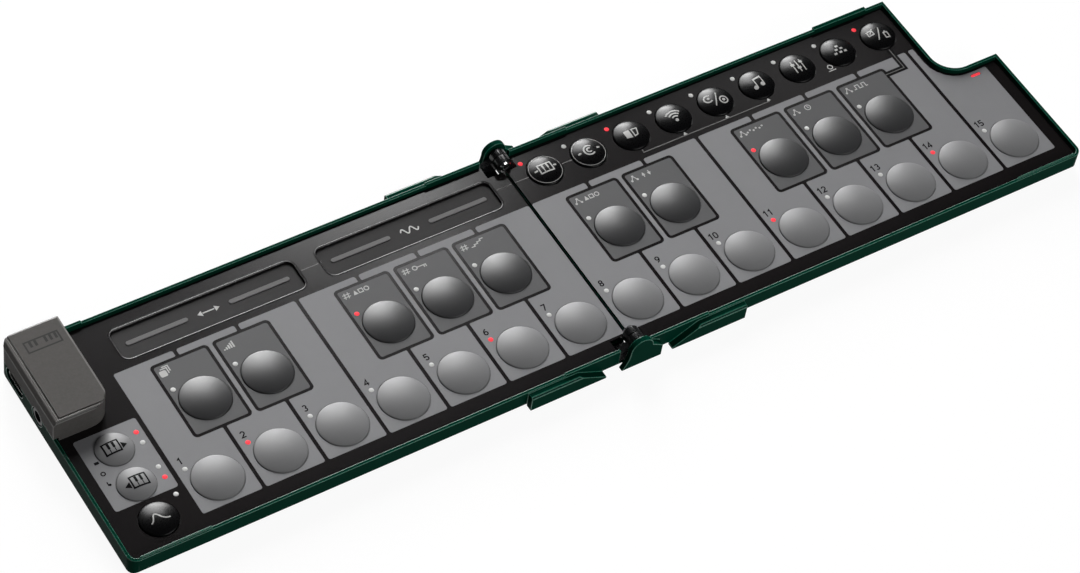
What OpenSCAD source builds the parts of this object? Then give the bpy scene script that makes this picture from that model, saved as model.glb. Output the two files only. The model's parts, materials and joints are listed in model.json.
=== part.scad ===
// Folding keyboard controller: two shallow trays joined by a hinge, with pressable caps.
// Row frame in mm: +X runs along the keys, +Y to the rear, +Z up, the fold at X = 0.

/* [Keys] */
// Spacing of the white keys along the keyboard
key_pitch = 20; // [19:0.25:23]
// Diameter of a key cap
key_cap_d = 15.4; // [13:0.1:15.6]
// Diameter of a small button cap
button_cap_d = 11.4; // [9.6:0.1:11.6]
// How far the straight side of a cap stands above the panel
cap_skirt = 0.3; // [0.2:0.05:0.4]
// Height of the domed top above that straight side
cap_crown = 1.3; // [0.8:0.05:1.4]
// How far a cap goes down when it is pressed
cap_travel = 0.7; // [0.4:0.05:0.75]
// Width of the rim that keeps a cap under the panel
cap_rim = 0.55; // [0.45:0.05:0.6]
// Thickness of that rim
cap_rim_t = 0.5; // [0.4:0.05:0.5]
// Play all round between a cap and its hole
cap_clear = 0.25; // [0.15:0.05:0.3]
// Diameter of the plunger under a cap
plunger_d = 4.8; // [4:0.2:6]
// Play all round between a plunger and the contact mat
plunger_clear = 0.5; // [0.4:0.1:0.8]
// What is left between a fully pressed plunger and the board
plunger_gap = 0.05; // [0.02:0.01:0.1]

/* [Rows] */
// From the front face of the case to the middle of the white-key row
front_row_inset = 15.4; // [15:0.1:17]
// From the white-key row to the black-key row
black_row_step = 25.7; // [24:0.1:27]
// From the rear face of the case to the middle of the function row
function_row_inset = 10.9; // [10.6:0.1:12]
// From the fold to the first function button
function_first = 11.2; // [11:0.1:13]
// From the last function button to the notch
function_end_gap = 9.3; // [8.6:0.1:11]
// From the left end face to the middle of the button column
column_inset = 14; // [12:0.1:15]
// From the front face to the first button of the column
column_front = 10.5; // [10:0.1:12]
// Spacing of the buttons in the column
column_step = 13.2; // [13:0.1:13.8]

/* [Lights] */
// Diameter of a light pipe
pipe_d = 1.3; // [0.8:0.05:1.4]
// Play all round between a light pipe and its holes
pipe_clear = 0.12; // [0.1:0.02:0.2]
// Sideways step from a key cap to its light
key_light_x = 6.8; // [6.7:0.1:7.4]
// Rearward step from a key cap to its light
key_light_y = 6.7; // [6.6:0.1:7.4]
// Sideways step from a function button to its light
button_light_x = 5.4; // [5.2:0.1:5.6]
// Rearward step from a function button to its light
button_light_y = 5.6; // [5.4:0.1:5.8]
// Sideways step from the button column to its lights
column_light_x = 8.1; // [7.6:0.1:8.6]
// Spacing of the two lights beside an octave button
column_light_step = 3.9; // [3:0.1:4.4]
// Rearward step from an octave button to the middle of its two lights
column_light_mid = 0.55; // [0:0.05:0.8]
// Rearward step from the curve button to its light
curve_light_y = 5.3; // [4.8:0.1:5.8]
// Length of the slot-shaped status light
status_len = 3.4; // [2:0.1:6]
// Width of that light
status_w = 0.8; // [0.6:0.05:1]
// From the right end face to the middle of that light
status_side = 10.4; // [7:0.1:12]
// From the notch to the middle of that light
status_front = 3.6; // [3.3:0.1:6]

/* [Touch strips] */
// Number of keys that one touch strip spans
strip_keys = 3; // [2.6:0.1:3.05]
// Width of the opening over a touch strip
strip_w = 11.4; // [8:0.2:11.6]
// Corner radius of that opening
strip_r = 2.6; // [1.5:0.1:4]
// Sloped edge round that opening
strip_chamfer = 0.5; // [0.2:0.05:0.6]
// From the rear face to the middle of the strips
strip_inset = 11.8; // [11.6:0.1:13]
// From the fold to the first strip
strip_fold_gap = 6.8; // [6.4:0.1:7]
// Distance between the two strips
strip_gap = 7.4; // [7:0.1:8]
// How far a touch pad reaches under the panel
strip_lap = 1.2; // [0.8:0.1:1.3]
// Thickness of a touch pad
strip_t = 0.8; // [0.5:0.1:1]
// Length of a raised finger bar
bar_len = 20; // [14:0.5:21]
// Width of a finger bar
bar_w = 1.5; // [1:0.1:3]
// Height of a finger bar
bar_h = 0.2; // [0.1:0.05:0.4]
// From the end of an opening to its finger bar
bar_inset = 3.3; // [2:0.1:5]

/* [Case] */
// Front to rear over the case walls
case_depth = 80.4; // [80:0.2:92]
// From the last key to the right end face
side_margin = 5; // [4.6:0.1:9]
// Height of the case from its underside to the lip
case_h = 6.4; // [6.3:0.1:8]
// Wall thickness
wall = 1; // [0.8:0.1:1.1]
// Wall thickness at the fold
fold_wall = 0.9; // [0.6:0.05:0.95]
// Thickness of the floor
floor_t = 1.2; // [1.1:0.05:1.25]
// Corner radius of the case seen from above
corner_r = 3; // [2:0.1:5]
// Corner radius at the left rear, of the case and of the block on it
rear_corner_r = 4; // [3:0.1:5]
// Radius along the lower edges of the case
edge_r = 1.3; // [0.5:0.1:1.6]
// Gap between the two halves at the fold
fold_gap = 1; // [0.6:0.1:1.2]
// How far the panel lies below the lip
panel_sink = 1.4; // [1.3:0.05:1.5]
// Height of the stop pads that stand above the lip
pad_h = 0.6; // [0.5:0.05:0.8]
// How far the hinge pads reach from the fold
hinge_pad_len = 25; // [16:0.5:40]
// Length of the raised corner ridges
ridge_len = 22; // [10:0.5:30]
// Length of the finger rest on the right rear wall
rest_len = 20.3; // [14:0.1:30]
// From the notch to the finger rest
rest_gap = 7.2; // [3:0.1:12]
// How far the finger rest stands out from the wall
rest_out = 0.4; // [0.2:0.05:0.8]
// Width of the ledge that carries the panel
ledge_w = 1.4; // [1.2:0.05:1.45]

/* [Bumpers] */
// From the fold to the low end of a bumper
bumper_start = 11.5; // [11:0.1:14]
// Length of a bumper's ramp
bumper_ramp = 9.5; // [6:0.1:12]
// From the low end of a bumper to its far end
bumper_len = 26; // [20:0.5:40]
// How far a bumper stands out from the wall
bumper_out = 2.2; // [1.4:0.1:2.6]
// Height of a bumper below the lip
bumper_drop = 0.6; // [0.3:0.1:2]
// Height of a bumper at its low end
bumper_toe = 0.8; // [0.4:0.1:2]
// Sloped edge along the top of a bumper
bumper_chamfer = 0.6; // [0.2:0.1:1]

/* [Panel and insides] */
// Thickness of the panel
panel_t = 0.8; // [0.7:0.05:0.85]
// Play all round between the panel and the case
panel_clear = 0.3; // [0.2:0.05:0.4]
// Distance of the panel's edge from the case face at the fold
panel_fold_clear = 0.1; // [0.05:0.05:0.3]
// Thickness of the circuit board
board_t = 0.8; // [0.6:0.05:0.85]
// Height of the board above the floor
board_lift = 0.3; // [0.2:0.05:0.35]
// Play all round between the board and what it passes
board_clear = 0.4; // [0.3:0.05:0.6]
// Thickness of the contact mat
mat_t = 0.6; // [0.4:0.05:0.65]
// How far the contact mat reaches past the middle of a key cap
mat_reach = 8.6; // [8:0.1:9]
// Width of the mat round the plunger of a button cap
mat_rim = 1.2; // [0.8:0.1:1.4]
// Corner radius of the contact mat
mat_r = 2; // [1:0.1:3]
// Diameter of a screw post under the panel
post_d = 3.2; // [2.8:0.1:3.3]
// From the case faces to the middle of the screw posts
post_inset = 4.3; // [4.2:0.05:4.5]
// Height of the screw bosses on the floor
boss_h = 0.8; // [0.5:0.05:0.9]
// Diameter of the screw bosses on the floor
boss_d = 4.4; // [3.6:0.1:4.8]
// Diameter of a screw
screw_d = 1.6; // [1.4:0.1:1.8]
// Diameter of a screw head
screw_head_d = 3; // [2.6:0.1:3.2]
// Thickness of a screw head
screw_head_t = 0.6; // [0.4:0.05:0.65]
// How deep a screw head lies in the floor
screw_sink = 0.7; // [0.65:0.05:0.8]
// Play all round between a screw and a hole that it passes
screw_clear = 0.2; // [0.1:0.05:0.3]
// Play all round between a screw and the hole that it holds in
thread_clear = 0.02; // [0.01:0.01:0.03]
// Length of a screw in the post that it holds
screw_bite = 1.6; // [1.2:0.1:2]
// Diameter of a rubber foot
foot_d = 8; // [6:0.5:11]
// Height of a rubber foot below the case
foot_h = 1; // [0.8:0.1:2]
// Depth of the pocket that holds a foot
foot_pocket = 0.3; // [0.2:0.05:0.5]
// Play all round between a foot and its pocket
foot_clear = 0.1; // [0.05:0.05:0.3]
// From the fold to the inner feet
foot_inner = 24; // [22:0.5:40]
// From the end faces to the outer feet
foot_outer = 9.9; // [8:0.1:30]
// From the front and rear faces to the feet
foot_inset = 12; // [11:0.5:20]
// What is left between the foot under the block and the screws beside it
foot_post_gap = 0.8; // [0.5:0.1:1.2]

/* [Block] */
// Width of the raised block
block_w = 18.4; // [17.6:0.1:18.8]
// From the last button of the column to the front face of the block
block_gap = 9.7; // [9:0.1:12]
// Height of the raised block above the panel
block_rise = 8.6; // [8.2:0.1:9]
// Wall thickness of the block
block_wall = 1.4; // [1.2:0.1:1.5]
// Thickness of the block's roof
block_roof = 1.2; // [1:0.1:1.4]
// Corner radius of the block at its front right
block_corner_r = 6; // [3:0.1:6.5]
// Sloped edge round the top of the block
block_chamfer = 0.5; // [0.2:0.1:0.8]
// Sloped edge along the top of the block at the ports
block_side_chamfer = 1.2; // [0.4:0.1:1.4]
// How far the block laps onto the panel
block_lap = 0.8; // [0.6:0.05:1]
// Width and depth of the groove round the top plate
groove = 0.5; // [0.3:0.05:0.6]
// From the left face to that groove
groove_side = 2; // [1.6:0.1:3]
// From the front face to that groove
groove_front = 1; // [0.9:0.1:2.5]
// Play between the side of the block and the notch that takes it
notch_gap = 1.7; // [1.6:0.1:2.6]
// Play between the front of the block and that notch
notch_front_gap = 0.7; // [0.6:0.05:1.8]
// Radius in the inner corner of the notch
notch_r = 8; // [4:0.1:9]
// Thickness of the battery
battery_t = 4; // [3:0.1:4.2]
// Corner radius of the battery
battery_r = 1.2; // [0.5:0.1:2]
// Play round the battery, to the block's inner faces and posts
battery_gap = 0.6; // [0.4:0.1:0.8]
// From the rear face to the middle of the rear block post
block_post_rear = 5; // [4.5:0.1:7]
// How far a block post sinks into the block's wall
block_post_bite = 0.3; // [0.2:0.05:0.4]

/* [Ports] */
// Share of the free room beside the sockets that lies behind the wide one
port_rear_share = 0.2435; // [0.15:0.0005:0.35]
// Share of that room between the two sockets
port_mid_share = 0.4115; // [0.35:0.0005:0.6]
// Width over the shell of the wide socket
usb_w = 8.94; // [8.9:0.02:9]
// Height over the shell of the wide socket
usb_h = 3.26; // [3.2:0.02:3.3]
// Length of the shell of the wide socket
usb_len = 7.3; // [6.5:0.1:8.5]
// Wall of that shell
usb_wall = 0.3; // [0.2:0.05:0.35]
// Width of the tongue in the socket
usb_tongue_w = 6.7; // [6.4:0.05:6.8]
// Thickness of that tongue
usb_tongue_t = 0.7; // [0.6:0.05:0.8]
// From the mouth of the shell to the tongue
usb_tongue_in = 1.2; // [0.8:0.1:2]
// From the end face to the mouth of the shell
usb_recess = 0.6; // [0.3:0.1:1]
// Play all round between the shell and its opening
usb_clear = 0.7; // [0.4:0.1:0.8]
// Diameter of the plug that the jack takes
jack_bore_d = 3.6; // [3.5:0.05:3.7]
// Length of that bore
jack_bore_len = 12; // [11:0.5:12.5]
// Diameter of the nose of the jack
jack_nose_d = 5.6; // [5:0.1:5.8]
// Width of the body of the jack
jack_body_w = 6.4; // [6:0.1:7]
// Height of the body of the jack
jack_body_h = 5.6; // [5:0.1:5.7]
// Length of the body of the jack
jack_body_len = 10.8; // [10.6:0.1:11.2]
// From the end face to the nose of the jack
jack_recess = 0.2; // [0.1:0.1:0.6]
// Play all round between the nose and its hole
jack_clear = 0.25; // [0.15:0.05:0.35]

/* [Hinge] */
// How far the hinge axis lies above the stop pads
axis_rise = 0.2; // [0.15:0.05:0.4]
// Diameter of a hinge pin
pin_d = 2.4; // [2:0.1:2.8]
// Diameter of the head of a hinge pin
pin_head_d = 3.8; // [3.2:0.1:4.4]
// Thickness of that head
pin_head_t = 0.9; // [0.6:0.1:1]
// Running play all round between the pin and the left bracket
pin_run = 0.05; // [0.02:0.01:0.08]
// Diameter of a hinge knuckle
knuckle_d = 5.2; // [4.4:0.1:5.4]
// Width of a hinge knuckle
knuckle_w = 2.2; // [1.8:0.1:2.3]
// Side play between the knuckles
knuckle_gap = 0.3; // [0.2:0.05:0.4]
// Thickness of a bracket's base
bracket_t = 1; // [0.8:0.05:1.1]
// How far a hinge bay reaches in from the case face
bay_depth = 5.8; // [5.7:0.1:6]
// How far the left bay reaches from the fold
bay_left = 6; // [5.5:0.1:6.4]
// How far the right bay reaches from the fold
bay_right = 4.4; // [4.3:0.05:4.5]
// Play between a bracket and its bay
bay_clear = 0.3; // [0.2:0.05:0.4]
// Diameter of the round top of an ear
ear_d = 7.6; // [6.5:0.1:8.4]
// Thickness of an ear
ear_t = 1.8; // [1.6:0.1:2.2]
// Play between an ear and the wall that it passes
ear_gap = 0.4; // [0.3:0.05:0.6]
// Depth of the blind hole in an ear
ear_hole = 1.2; // [0.8:0.05:1.3]
// Radius of the hollow flank of an ear
ear_flank_r = 12; // [10.5:0.5:20]
// How far the root of an ear reaches from the fold
ear_root = 7.6; // [7.2:0.1:9]
// Height of the shoulder of an ear's root below the lip
ear_shoulder = 1.6; // [0.5:0.1:3]

/* [Hidden] */
$fn = 64;
EPS = 0.1;
WHITE_COUNT = 15;
WHITE_LEFT = 7;
WHITE_RIGHT = 8;
FUNCTION_COUNT = 9;
// White key that each black key follows
BLACK_AFTER = [1, 2, 4, 5, 6, 8, 9, 11, 12, 13];
BLACK_COUNT = len(BLACK_AFTER);
BLACK_LEFT = 5;
LEFT = -1;
RIGHT = 1;
FRONT = -1;
REAR = 1;

half_w = WHITE_RIGHT * key_pitch + side_margin;
y_face = case_depth / 2;
x_fold = fold_gap / 2;

z_base = foot_h;
z_floor = z_base + floor_t;
z_lip = z_base + case_h;
z_pad = z_lip + pad_h;
z_axis = z_pad + axis_rise;
z_panel = z_lip - panel_sink;
z_under = z_panel - panel_t;
z_board = z_floor + board_lift;
z_board_top = z_board + board_t;
z_mat_top = z_board_top + mat_t;
z_rim = z_under - cap_rim_t;
z_plunger = z_board_top + cap_travel + plunger_gap;
z_boss = z_floor + boss_h;
z_block = z_panel + block_rise;
z_roof = z_block - block_roof;

y_white = front_row_inset - y_face;
y_black = y_white + black_row_step;
y_function = y_face - function_row_inset;
y_strip = y_face - strip_inset;
x_column = column_inset - half_w;

block_d = case_depth - column_front - 2 * column_step - block_gap;
block_x = block_w - half_w;
block_y = y_face - block_d;
port_room = block_d - 2 * block_wall - usb_w - jack_body_w;
y_usb = y_face - block_wall - port_rear_share * port_room - usb_w / 2;
y_jack = y_usb - usb_w / 2 - port_mid_share * port_room - jack_body_w / 2;
notch_x = half_w - block_w - notch_gap;
notch_y = block_y - notch_front_gap;
function_pitch = (notch_x - function_end_gap - function_first) / (FUNCTION_COUNT - 1);

strip_len = strip_keys * key_pitch;
mod_x = -strip_fold_gap - strip_len;
pitch_x = mod_x - strip_gap - strip_len;

post_r = post_d / 2;
y_post = y_face - post_inset;
block_post_x = block_x - block_wall - post_r + block_post_bite;
block_post_mid = (y_usb - usb_w / 2 + y_jack + jack_body_w / 2) / 2;
battery_w = block_w - 2 * block_wall - post_d + block_post_bite - 2 * battery_gap;
battery_len = block_d - 2 * block_wall - 2 * battery_gap;
button_reach = plunger_d / 2 + plunger_clear + mat_rim;
status_at = [half_w - status_side, notch_y - status_front];
board_inset = wall + ledge_w + board_clear;
board_fold = fold_wall + board_clear;
z_jack = z_board_top + jack_body_h / 2;
z_usb = z_board_top + usb_h / 2;
port_depth = wall + ledge_w;
jack_hole_r = jack_nose_d / 2 + jack_clear;

knuckle_out = y_face - bay_clear;
knuckle_mid = knuckle_out - knuckle_w - knuckle_gap;
knuckle_in = knuckle_mid - knuckle_w;
bracket_in = y_face - bay_depth + bay_clear;
bracket_left = bay_left - bay_clear;
bracket_right = bay_right - bay_clear;
ear_in = y_face + ear_gap;
ear_out = ear_in + ear_t;
pin_tip = ear_in + ear_hole - thread_clear;
bracket_screw_y = (knuckle_mid + bracket_in) / 2;

function white_x(i) = (i - WHITE_LEFT - 0.5) * key_pitch;
function black_x(i) = white_x(BLACK_AFTER[i - 1]) + key_pitch / 2;
function function_x(i) = function_first + (i - 1) * function_pitch;
function column_y(i) = column_front - y_face + (i - 1) * column_step;
function dome_r(d) = (pow(d / 2, 2) + pow(cap_crown, 2)) / (2 * cap_crown);

// Middles of the caps on each half
LEFT_KEYS = concat(
    [for (i = [1 : WHITE_LEFT]) [white_x(i), y_white]],
    [for (i = [1 : BLACK_LEFT]) [black_x(i), y_black]]
);
RIGHT_KEYS = concat(
    [for (i = [WHITE_LEFT + 1 : WHITE_COUNT]) [white_x(i), y_white]],
    [for (i = [BLACK_LEFT + 1 : BLACK_COUNT]) [black_x(i), y_black]]
);
LEFT_BUTTONS = [for (i = [1 : 3]) [x_column, column_y(i)]];
RIGHT_BUTTONS = [for (i = [1 : FUNCTION_COUNT]) [function_x(i), y_function]];

// Middles of the lights on each half
key_light = [-key_light_x, key_light_y];
button_light = [-button_light_x, button_light_y];
LEFT_LIGHTS = concat(
    [for (p = LEFT_KEYS) p + key_light],
    [LEFT_BUTTONS[0] + [column_light_x, curve_light_y]],
    [for (i = [1, 2], s = [0.5, -0.5])
        LEFT_BUTTONS[i] + [column_light_x, column_light_mid + s * column_light_step]]
);
RIGHT_LIGHTS = concat(
    [for (p = RIGHT_KEYS) p + key_light],
    [for (p = RIGHT_BUTTONS) p + button_light]
);

// Middles of the screw posts under each panel
LEFT_POSTS = [
    [white_x(1) - key_light_x, -y_post],
    [white_x(4), -y_post],
    [white_x(WHITE_LEFT), -y_post],
    [pitch_x - strip_gap, y_strip],
    [mod_x - strip_gap / 2, y_strip]
];
RIGHT_POSTS = [
    [white_x(WHITE_LEFT + 1) + key_light_x, -y_post],
    [white_x(11), -y_post],
    [white_x(WHITE_COUNT) - key_light_x, -y_post],
    [function_x(3) + function_pitch / 2, y_post],
    [function_x(6) + function_pitch / 2, y_post]
];
BLOCK_POSTS = [
    [block_post_x, y_face - block_post_rear],
    [block_post_x, block_post_mid]
];
LEFT_BRACKET_SCREWS = [for (s = [FRONT, REAR]) [-(bracket_left + x_fold) / 2, s * bracket_screw_y]];
RIGHT_BRACKET_SCREWS = [for (s = [FRONT, REAR]) [(bracket_right + x_fold) / 2, s * bracket_screw_y]];

LEFT_FEET = [
    [foot_outer - half_w, foot_inset - y_face],
    [block_post_x - screw_head_d / 2 - foot_d / 2 - foot_post_gap, y_face - foot_inset],
    [-foot_inner, foot_inset - y_face],
    [-foot_inner, y_face - foot_inset]
];
RIGHT_FEET = [
    [half_w - foot_outer, foot_inset - y_face],
    [notch_x - foot_outer, y_face - foot_inset],
    [foot_inner, foot_inset - y_face],
    [foot_inner, y_face - foot_inset]
];

CASE_GREEN = [0.03, 0.11, 0.09];
PANEL_BLACK = [0.08, 0.08, 0.09];
KEY_GREY = [0.55, 0.55, 0.56];
DARK_GREY = [0.2, 0.2, 0.21];
GLOSS_BLACK = [0.02, 0.02, 0.025];
BOARD_GREEN = [0.05, 0.3, 0.15];
MAT_GREY = [0.7, 0.7, 0.68];
STEEL = [0.75, 0.75, 0.76];
LAMP_WHITE = [0.95, 0.95, 0.92];
BLOCK_GREY = [0.17, 0.17, 0.18];
CELL_SILVER = [0.65, 0.66, 0.68];

WHITE_NAMES = [for (i = [1 : WHITE_COUNT]) str("white_key_", i)];
BLACK_NAMES = [for (i = [1 : BLACK_COUNT]) str("black_key_", i)];
FUNCTION_NAMES = [for (i = [1 : FUNCTION_COUNT]) str("function_", i)];
COLUMN_NAMES = ["curve_button", "octave_down", "octave_up"];

// Shared building steps

module slab(z0, z1) {
    translate([0, 0, z0]) linear_extrude(z1 - z0) children();
}

// Outline drawn in X and Z, carried from y0 to y1
module along_y(y0, y1) {
    translate([0, y1, 0]) rotate([90, 0, 0]) linear_extrude(y1 - y0) children();
}

// Outline drawn in Y and Z, carried from x0 to x1
module along_x(x0, x1) {
    translate([x0, 0, 0]) rotate([90, 0, 90]) linear_extrude(x1 - x0) children();
}

module front_and_rear() {
    children();
    mirror([0, 1, 0]) children();
}

module corner_cut(x, y, turn, r) {
    translate([x, y]) rotate(turn) difference() {
        translate([-EPS, -EPS]) square(r + EPS);
        translate([r, r]) circle(r);
    }
}

// Rectangle with its own radius at each corner: front left, front right, rear right, rear left
module soft_rect(x0, y0, x1, y1, radii) {
    difference() {
        translate([x0, y0]) square([x1 - x0, y1 - y0]);
        if (radii[0] > 0) corner_cut(x0, y0, 0, radii[0]);
        if (radii[1] > 0) corner_cut(x1, y0, 90, radii[1]);
        if (radii[2] > 0) corner_cut(x1, y1, 180, radii[2]);
        if (radii[3] > 0) corner_cut(x0, y1, 270, radii[3]);
    }
}

// Slot with round ends, its long side along the first axis
module round_slot(length, width) {
    square([length - width, width], center = true);
    for (s = [-1, 1]) translate([s * (length - width) / 2, 0]) circle(d = width);
}

// Outline of one half seen from above, drawn in by inset, and by fold_inset at the fold
module half_outline(side, inset, fold_inset) {
    r = max(corner_r - inset, EPS);
    rear_r = max(rear_corner_r - inset, EPS);
    if (side == LEFT)
        soft_rect(inset - half_w, inset - y_face, -x_fold - fold_inset, y_face - inset, [r, 0, 0, rear_r]);
    else difference() {
        soft_rect(x_fold + fold_inset, inset - y_face, half_w - inset, y_face - inset, [0, r, 0, 0]);
        soft_rect(notch_x - inset, notch_y - inset, half_w + EPS, y_face + EPS, [notch_r + inset, 0, 0, 0]);
    }
}

// Both hinge bays of one half
module bays(side, reach, depth, z0, z1) {
    x0 = side == LEFT ? -reach : 0;
    front_and_rear()
        translate([x0, -y_face - EPS, z0]) cube([reach, depth + EPS, z1 - z0]);
}

// What the round lower edge takes off a straight side of length len along X
module edge_round(len) {
    difference() {
        translate([0, -EPS, -EPS]) cube([len, edge_r + EPS, edge_r + EPS]);
        translate([-EPS, edge_r, edge_r]) rotate([0, 90, 0]) cylinder(r = edge_r, h = len + 2 * EPS);
    }
}

module bumper(side) {
    x0 = bumper_start;
    top = z_lip - bumper_drop;
    far = x0 + bumper_len;
    mirror([side == LEFT ? 1 : 0, 0, 0]) difference() {
        along_y(-y_face - bumper_out, -y_face + EPS) polygon([
            [x0, z_base],
            [far, z_base],
            [far, top],
            [x0 + bumper_ramp, top],
            [x0, z_base + bumper_toe]
        ]);
        along_x(x0 - EPS, far + EPS) polygon([
            [-y_face - bumper_out - EPS, top - bumper_chamfer - EPS],
            [-y_face - bumper_out + bumper_chamfer + EPS, top + EPS],
            [-y_face - bumper_out - EPS, top + EPS]
        ]);
    }
}

// Holes in the floor for screws whose middles are at places
module screw_holes(places) {
    for (p = places) translate([p[0], p[1], z_base - EPS]) {
        cylinder(d = screw_d + 2 * screw_clear, h = floor_t + boss_h + 2 * EPS);
        cylinder(d = screw_head_d + 2 * screw_clear, h = screw_sink + EPS);
    }
}

module screw(p, top) {
    head_z = z_base + screw_sink - screw_head_t;
    slot_w = screw_d / 4;
    translate([p[0], p[1], 0]) difference() {
        union() {
            translate([0, 0, head_z]) cylinder(d = screw_head_d, h = screw_head_t);
            translate([0, 0, head_z]) cylinder(d = screw_d, h = top - head_z);
        }
        for (turn = [0, 90]) rotate(turn)
            translate([-screw_d / 2, -slot_w / 2, head_z - EPS])
                cube([screw_d, slot_w, screw_head_t / 2 + EPS]);
    }
}

// Tray of one half, before its ports and ears
module tray(side, posts, feet) {
    x_out = side == LEFT ? -half_w : x_fold;
    run = half_w - x_fold;
    difference() {
        union() {
            difference() {
                slab(z_base, z_lip) half_outline(side, 0, 0);
                front_and_rear() translate([x_out, -y_face, z_base]) edge_round(run);
                translate([side * half_w, side * y_face, z_base])
                    rotate(side == LEFT ? -90 : 90) mirror([side == LEFT ? 1 : 0, 0, 0])
                        translate([-2 * y_face, 0, 0]) edge_round(2 * y_face);
            }
            front_and_rear() bumper(side);
            front_and_rear() pad(side, x_fold, hinge_pad_len, wall);
            corner_pads(side);
        }
        difference() {
            slab(z_floor, z_under) half_outline(side, wall + ledge_w, fold_wall);
            for (p = posts) translate([p[0], p[1], z_base]) cylinder(d = boss_d, h = z_boss - z_base);
        }
        slab(z_under, z_pad + EPS) half_outline(side, wall, -x_fold);
        bays(side, side == LEFT ? bay_left : bay_right, bay_depth, z_floor, z_pad + EPS);
        screw_holes(posts);
        screw_holes(side == LEFT ? LEFT_BRACKET_SCREWS : RIGHT_BRACKET_SCREWS);
        for (p = feet) translate([p[0], p[1], z_base - EPS])
            cylinder(d = foot_d + 2 * foot_clear, h = foot_pocket + EPS);
    }
}

// Stop pad on the front wall from x0 to x1, as thick as t, measured from inside
module pad(side, x0, x1, t) {
    mirror([side == LEFT ? 1 : 0, 0, 0])
        translate([x0, -y_face + wall - t, z_lip - EPS]) cube([x1 - x0, t, pad_h + EPS]);
}

module corner_pads(side) {
    ridge_end = half_w - corner_r;
    pad(side, ridge_end - ridge_len, ridge_end, wall / 2);
    if (side == LEFT)
        mirror([0, 1, 0]) pad(side, -block_x - rest_gap, -block_x - panel_clear, wall);
    else
        mirror([0, 1, 0])
            pad(side, notch_x - rest_gap - rest_len, notch_x - rest_gap, wall + rest_out);
}

module ear() {
    flank_x = ear_d / 2 + ear_flank_r;
    along_y(-ear_out, -ear_in) ear_outline(flank_x);
    along_y(-ear_out, -y_face + EPS) intersection() {
        ear_outline(flank_x);
        translate([bay_right, z_base]) square([ear_root - bay_right, z_axis - z_base]);
    }
}

module ear_outline(flank_x) {
    translate([0, z_axis]) circle(d = ear_d);
    difference() {
        polygon([
            [-ear_root, z_base],
            [ear_root, z_base],
            [ear_root, z_lip - ear_shoulder],
            [ear_d / 2, z_axis],
            [-ear_root, z_axis]
        ]);
        translate([-flank_x, z_axis]) circle(r = ear_flank_r);
    }
}

// Plate that fills the top of one half, with holes for caps and lights
module panel(side, keys, buttons, lights, posts) {
    difference() {
        union() {
            slab(z_under, z_panel) half_outline(side, wall + panel_clear, panel_fold_clear);
            for (p = posts) translate([p[0], p[1], z_boss]) cylinder(d = post_d, h = z_panel - z_boss - EPS);
        }
        bays(side, side == LEFT ? bay_left : bay_right, bay_depth, z_under - EPS, z_panel + EPS);
        for (p = keys) cap_hole(p, key_cap_d);
        for (p = buttons) cap_hole(p, button_cap_d);
        for (p = lights) translate([p[0], p[1], z_under - EPS])
            cylinder(d = pipe_d + 2 * pipe_clear, h = panel_t + 2 * EPS);
        for (p = posts) translate([p[0], p[1], z_boss - EPS])
            cylinder(d = screw_d + 2 * thread_clear, h = screw_bite + EPS);
    }
}

module cap_hole(p, d) {
    translate([p[0], p[1], z_under - EPS]) cylinder(d = d + 2 * cap_clear, h = panel_t + 2 * EPS);
}

// Opening over a touch strip that starts at x0, with sloped edges
module strip_opening(x0) {
    x1 = x0 + strip_len;
    y0 = y_strip - strip_w / 2;
    y1 = y_strip + strip_w / 2;
    z0 = z_panel - strip_chamfer;
    z1 = z_panel + EPS;
    flare = strip_chamfer + EPS;
    slab(z_under - EPS, z0 + EPS)
        soft_rect(x0, y0, x1, y1, [strip_r, strip_r, strip_r, strip_r]);
    along_y(y0 + strip_r, y1 - strip_r)
        polygon([[x0, z0], [x1, z0], [x1 + flare, z1], [x0 - flare, z1]]);
    along_x(x0 + strip_r, x1 - strip_r)
        polygon([[y0, z0], [y1, z0], [y1 + flare, z1], [y0 - flare, z1]]);
    for (x = [x0 + strip_r, x1 - strip_r], y = [y0 + strip_r, y1 - strip_r])
        translate([x, y, z0]) cylinder(r1 = strip_r, r2 = strip_r + flare, h = flare);
}

module touch_strip(x0) {
    x1 = x0 + strip_len;
    half = strip_w / 2 + strip_lap;
    r = strip_r + strip_lap;
    slab(z_under - strip_t, z_under)
        soft_rect(x0 - strip_lap, y_strip - half, x1 + strip_lap, y_strip + half, [r, r, r, r]);
    for (x = [x0 + bar_inset + bar_len / 2, x1 - bar_inset - bar_len / 2])
        translate([x, y_strip]) slab(z_under - EPS, z_under + bar_h) round_slot(bar_len, bar_w);
}

module board(side, posts) {
    difference() {
        slab(z_board, z_board_top) half_outline(side, board_inset, board_fold);
        bays(side, (side == LEFT ? bay_left : bay_right) + board_clear, bay_depth + board_clear, 0, z_lip);
        for (p = posts) translate([p[0], p[1], z_board - EPS])
            cylinder(d = boss_d + 2 * board_clear, h = board_t + 2 * EPS);
    }
}

// Holes that a contact mat has for plungers and light pipes
module mat_holes(caps, lights) {
    for (p = caps) translate([p[0], p[1], z_board_top - EPS])
        cylinder(d = plunger_d + 2 * plunger_clear, h = mat_t + 2 * EPS);
    for (p = lights) translate([p[0], p[1], z_board_top - EPS])
        cylinder(d = pipe_d + 4 * pipe_clear, h = mat_t + 2 * EPS);
}

module cap(p, d) {
    top = z_panel + cap_skirt + cap_crown;
    translate([p[0], p[1], 0]) {
        translate([0, 0, z_plunger]) cylinder(d = plunger_d, h = z_under - z_plunger);
        translate([0, 0, z_rim]) cylinder(d = d + 2 * cap_rim, h = cap_rim_t);
        intersection() {
            translate([0, 0, z_rim]) cylinder(d = d, h = top - z_rim);
            translate([0, 0, top - dome_r(d)]) sphere(r = dome_r(d), $fn = 128);
        }
    }
}

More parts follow.
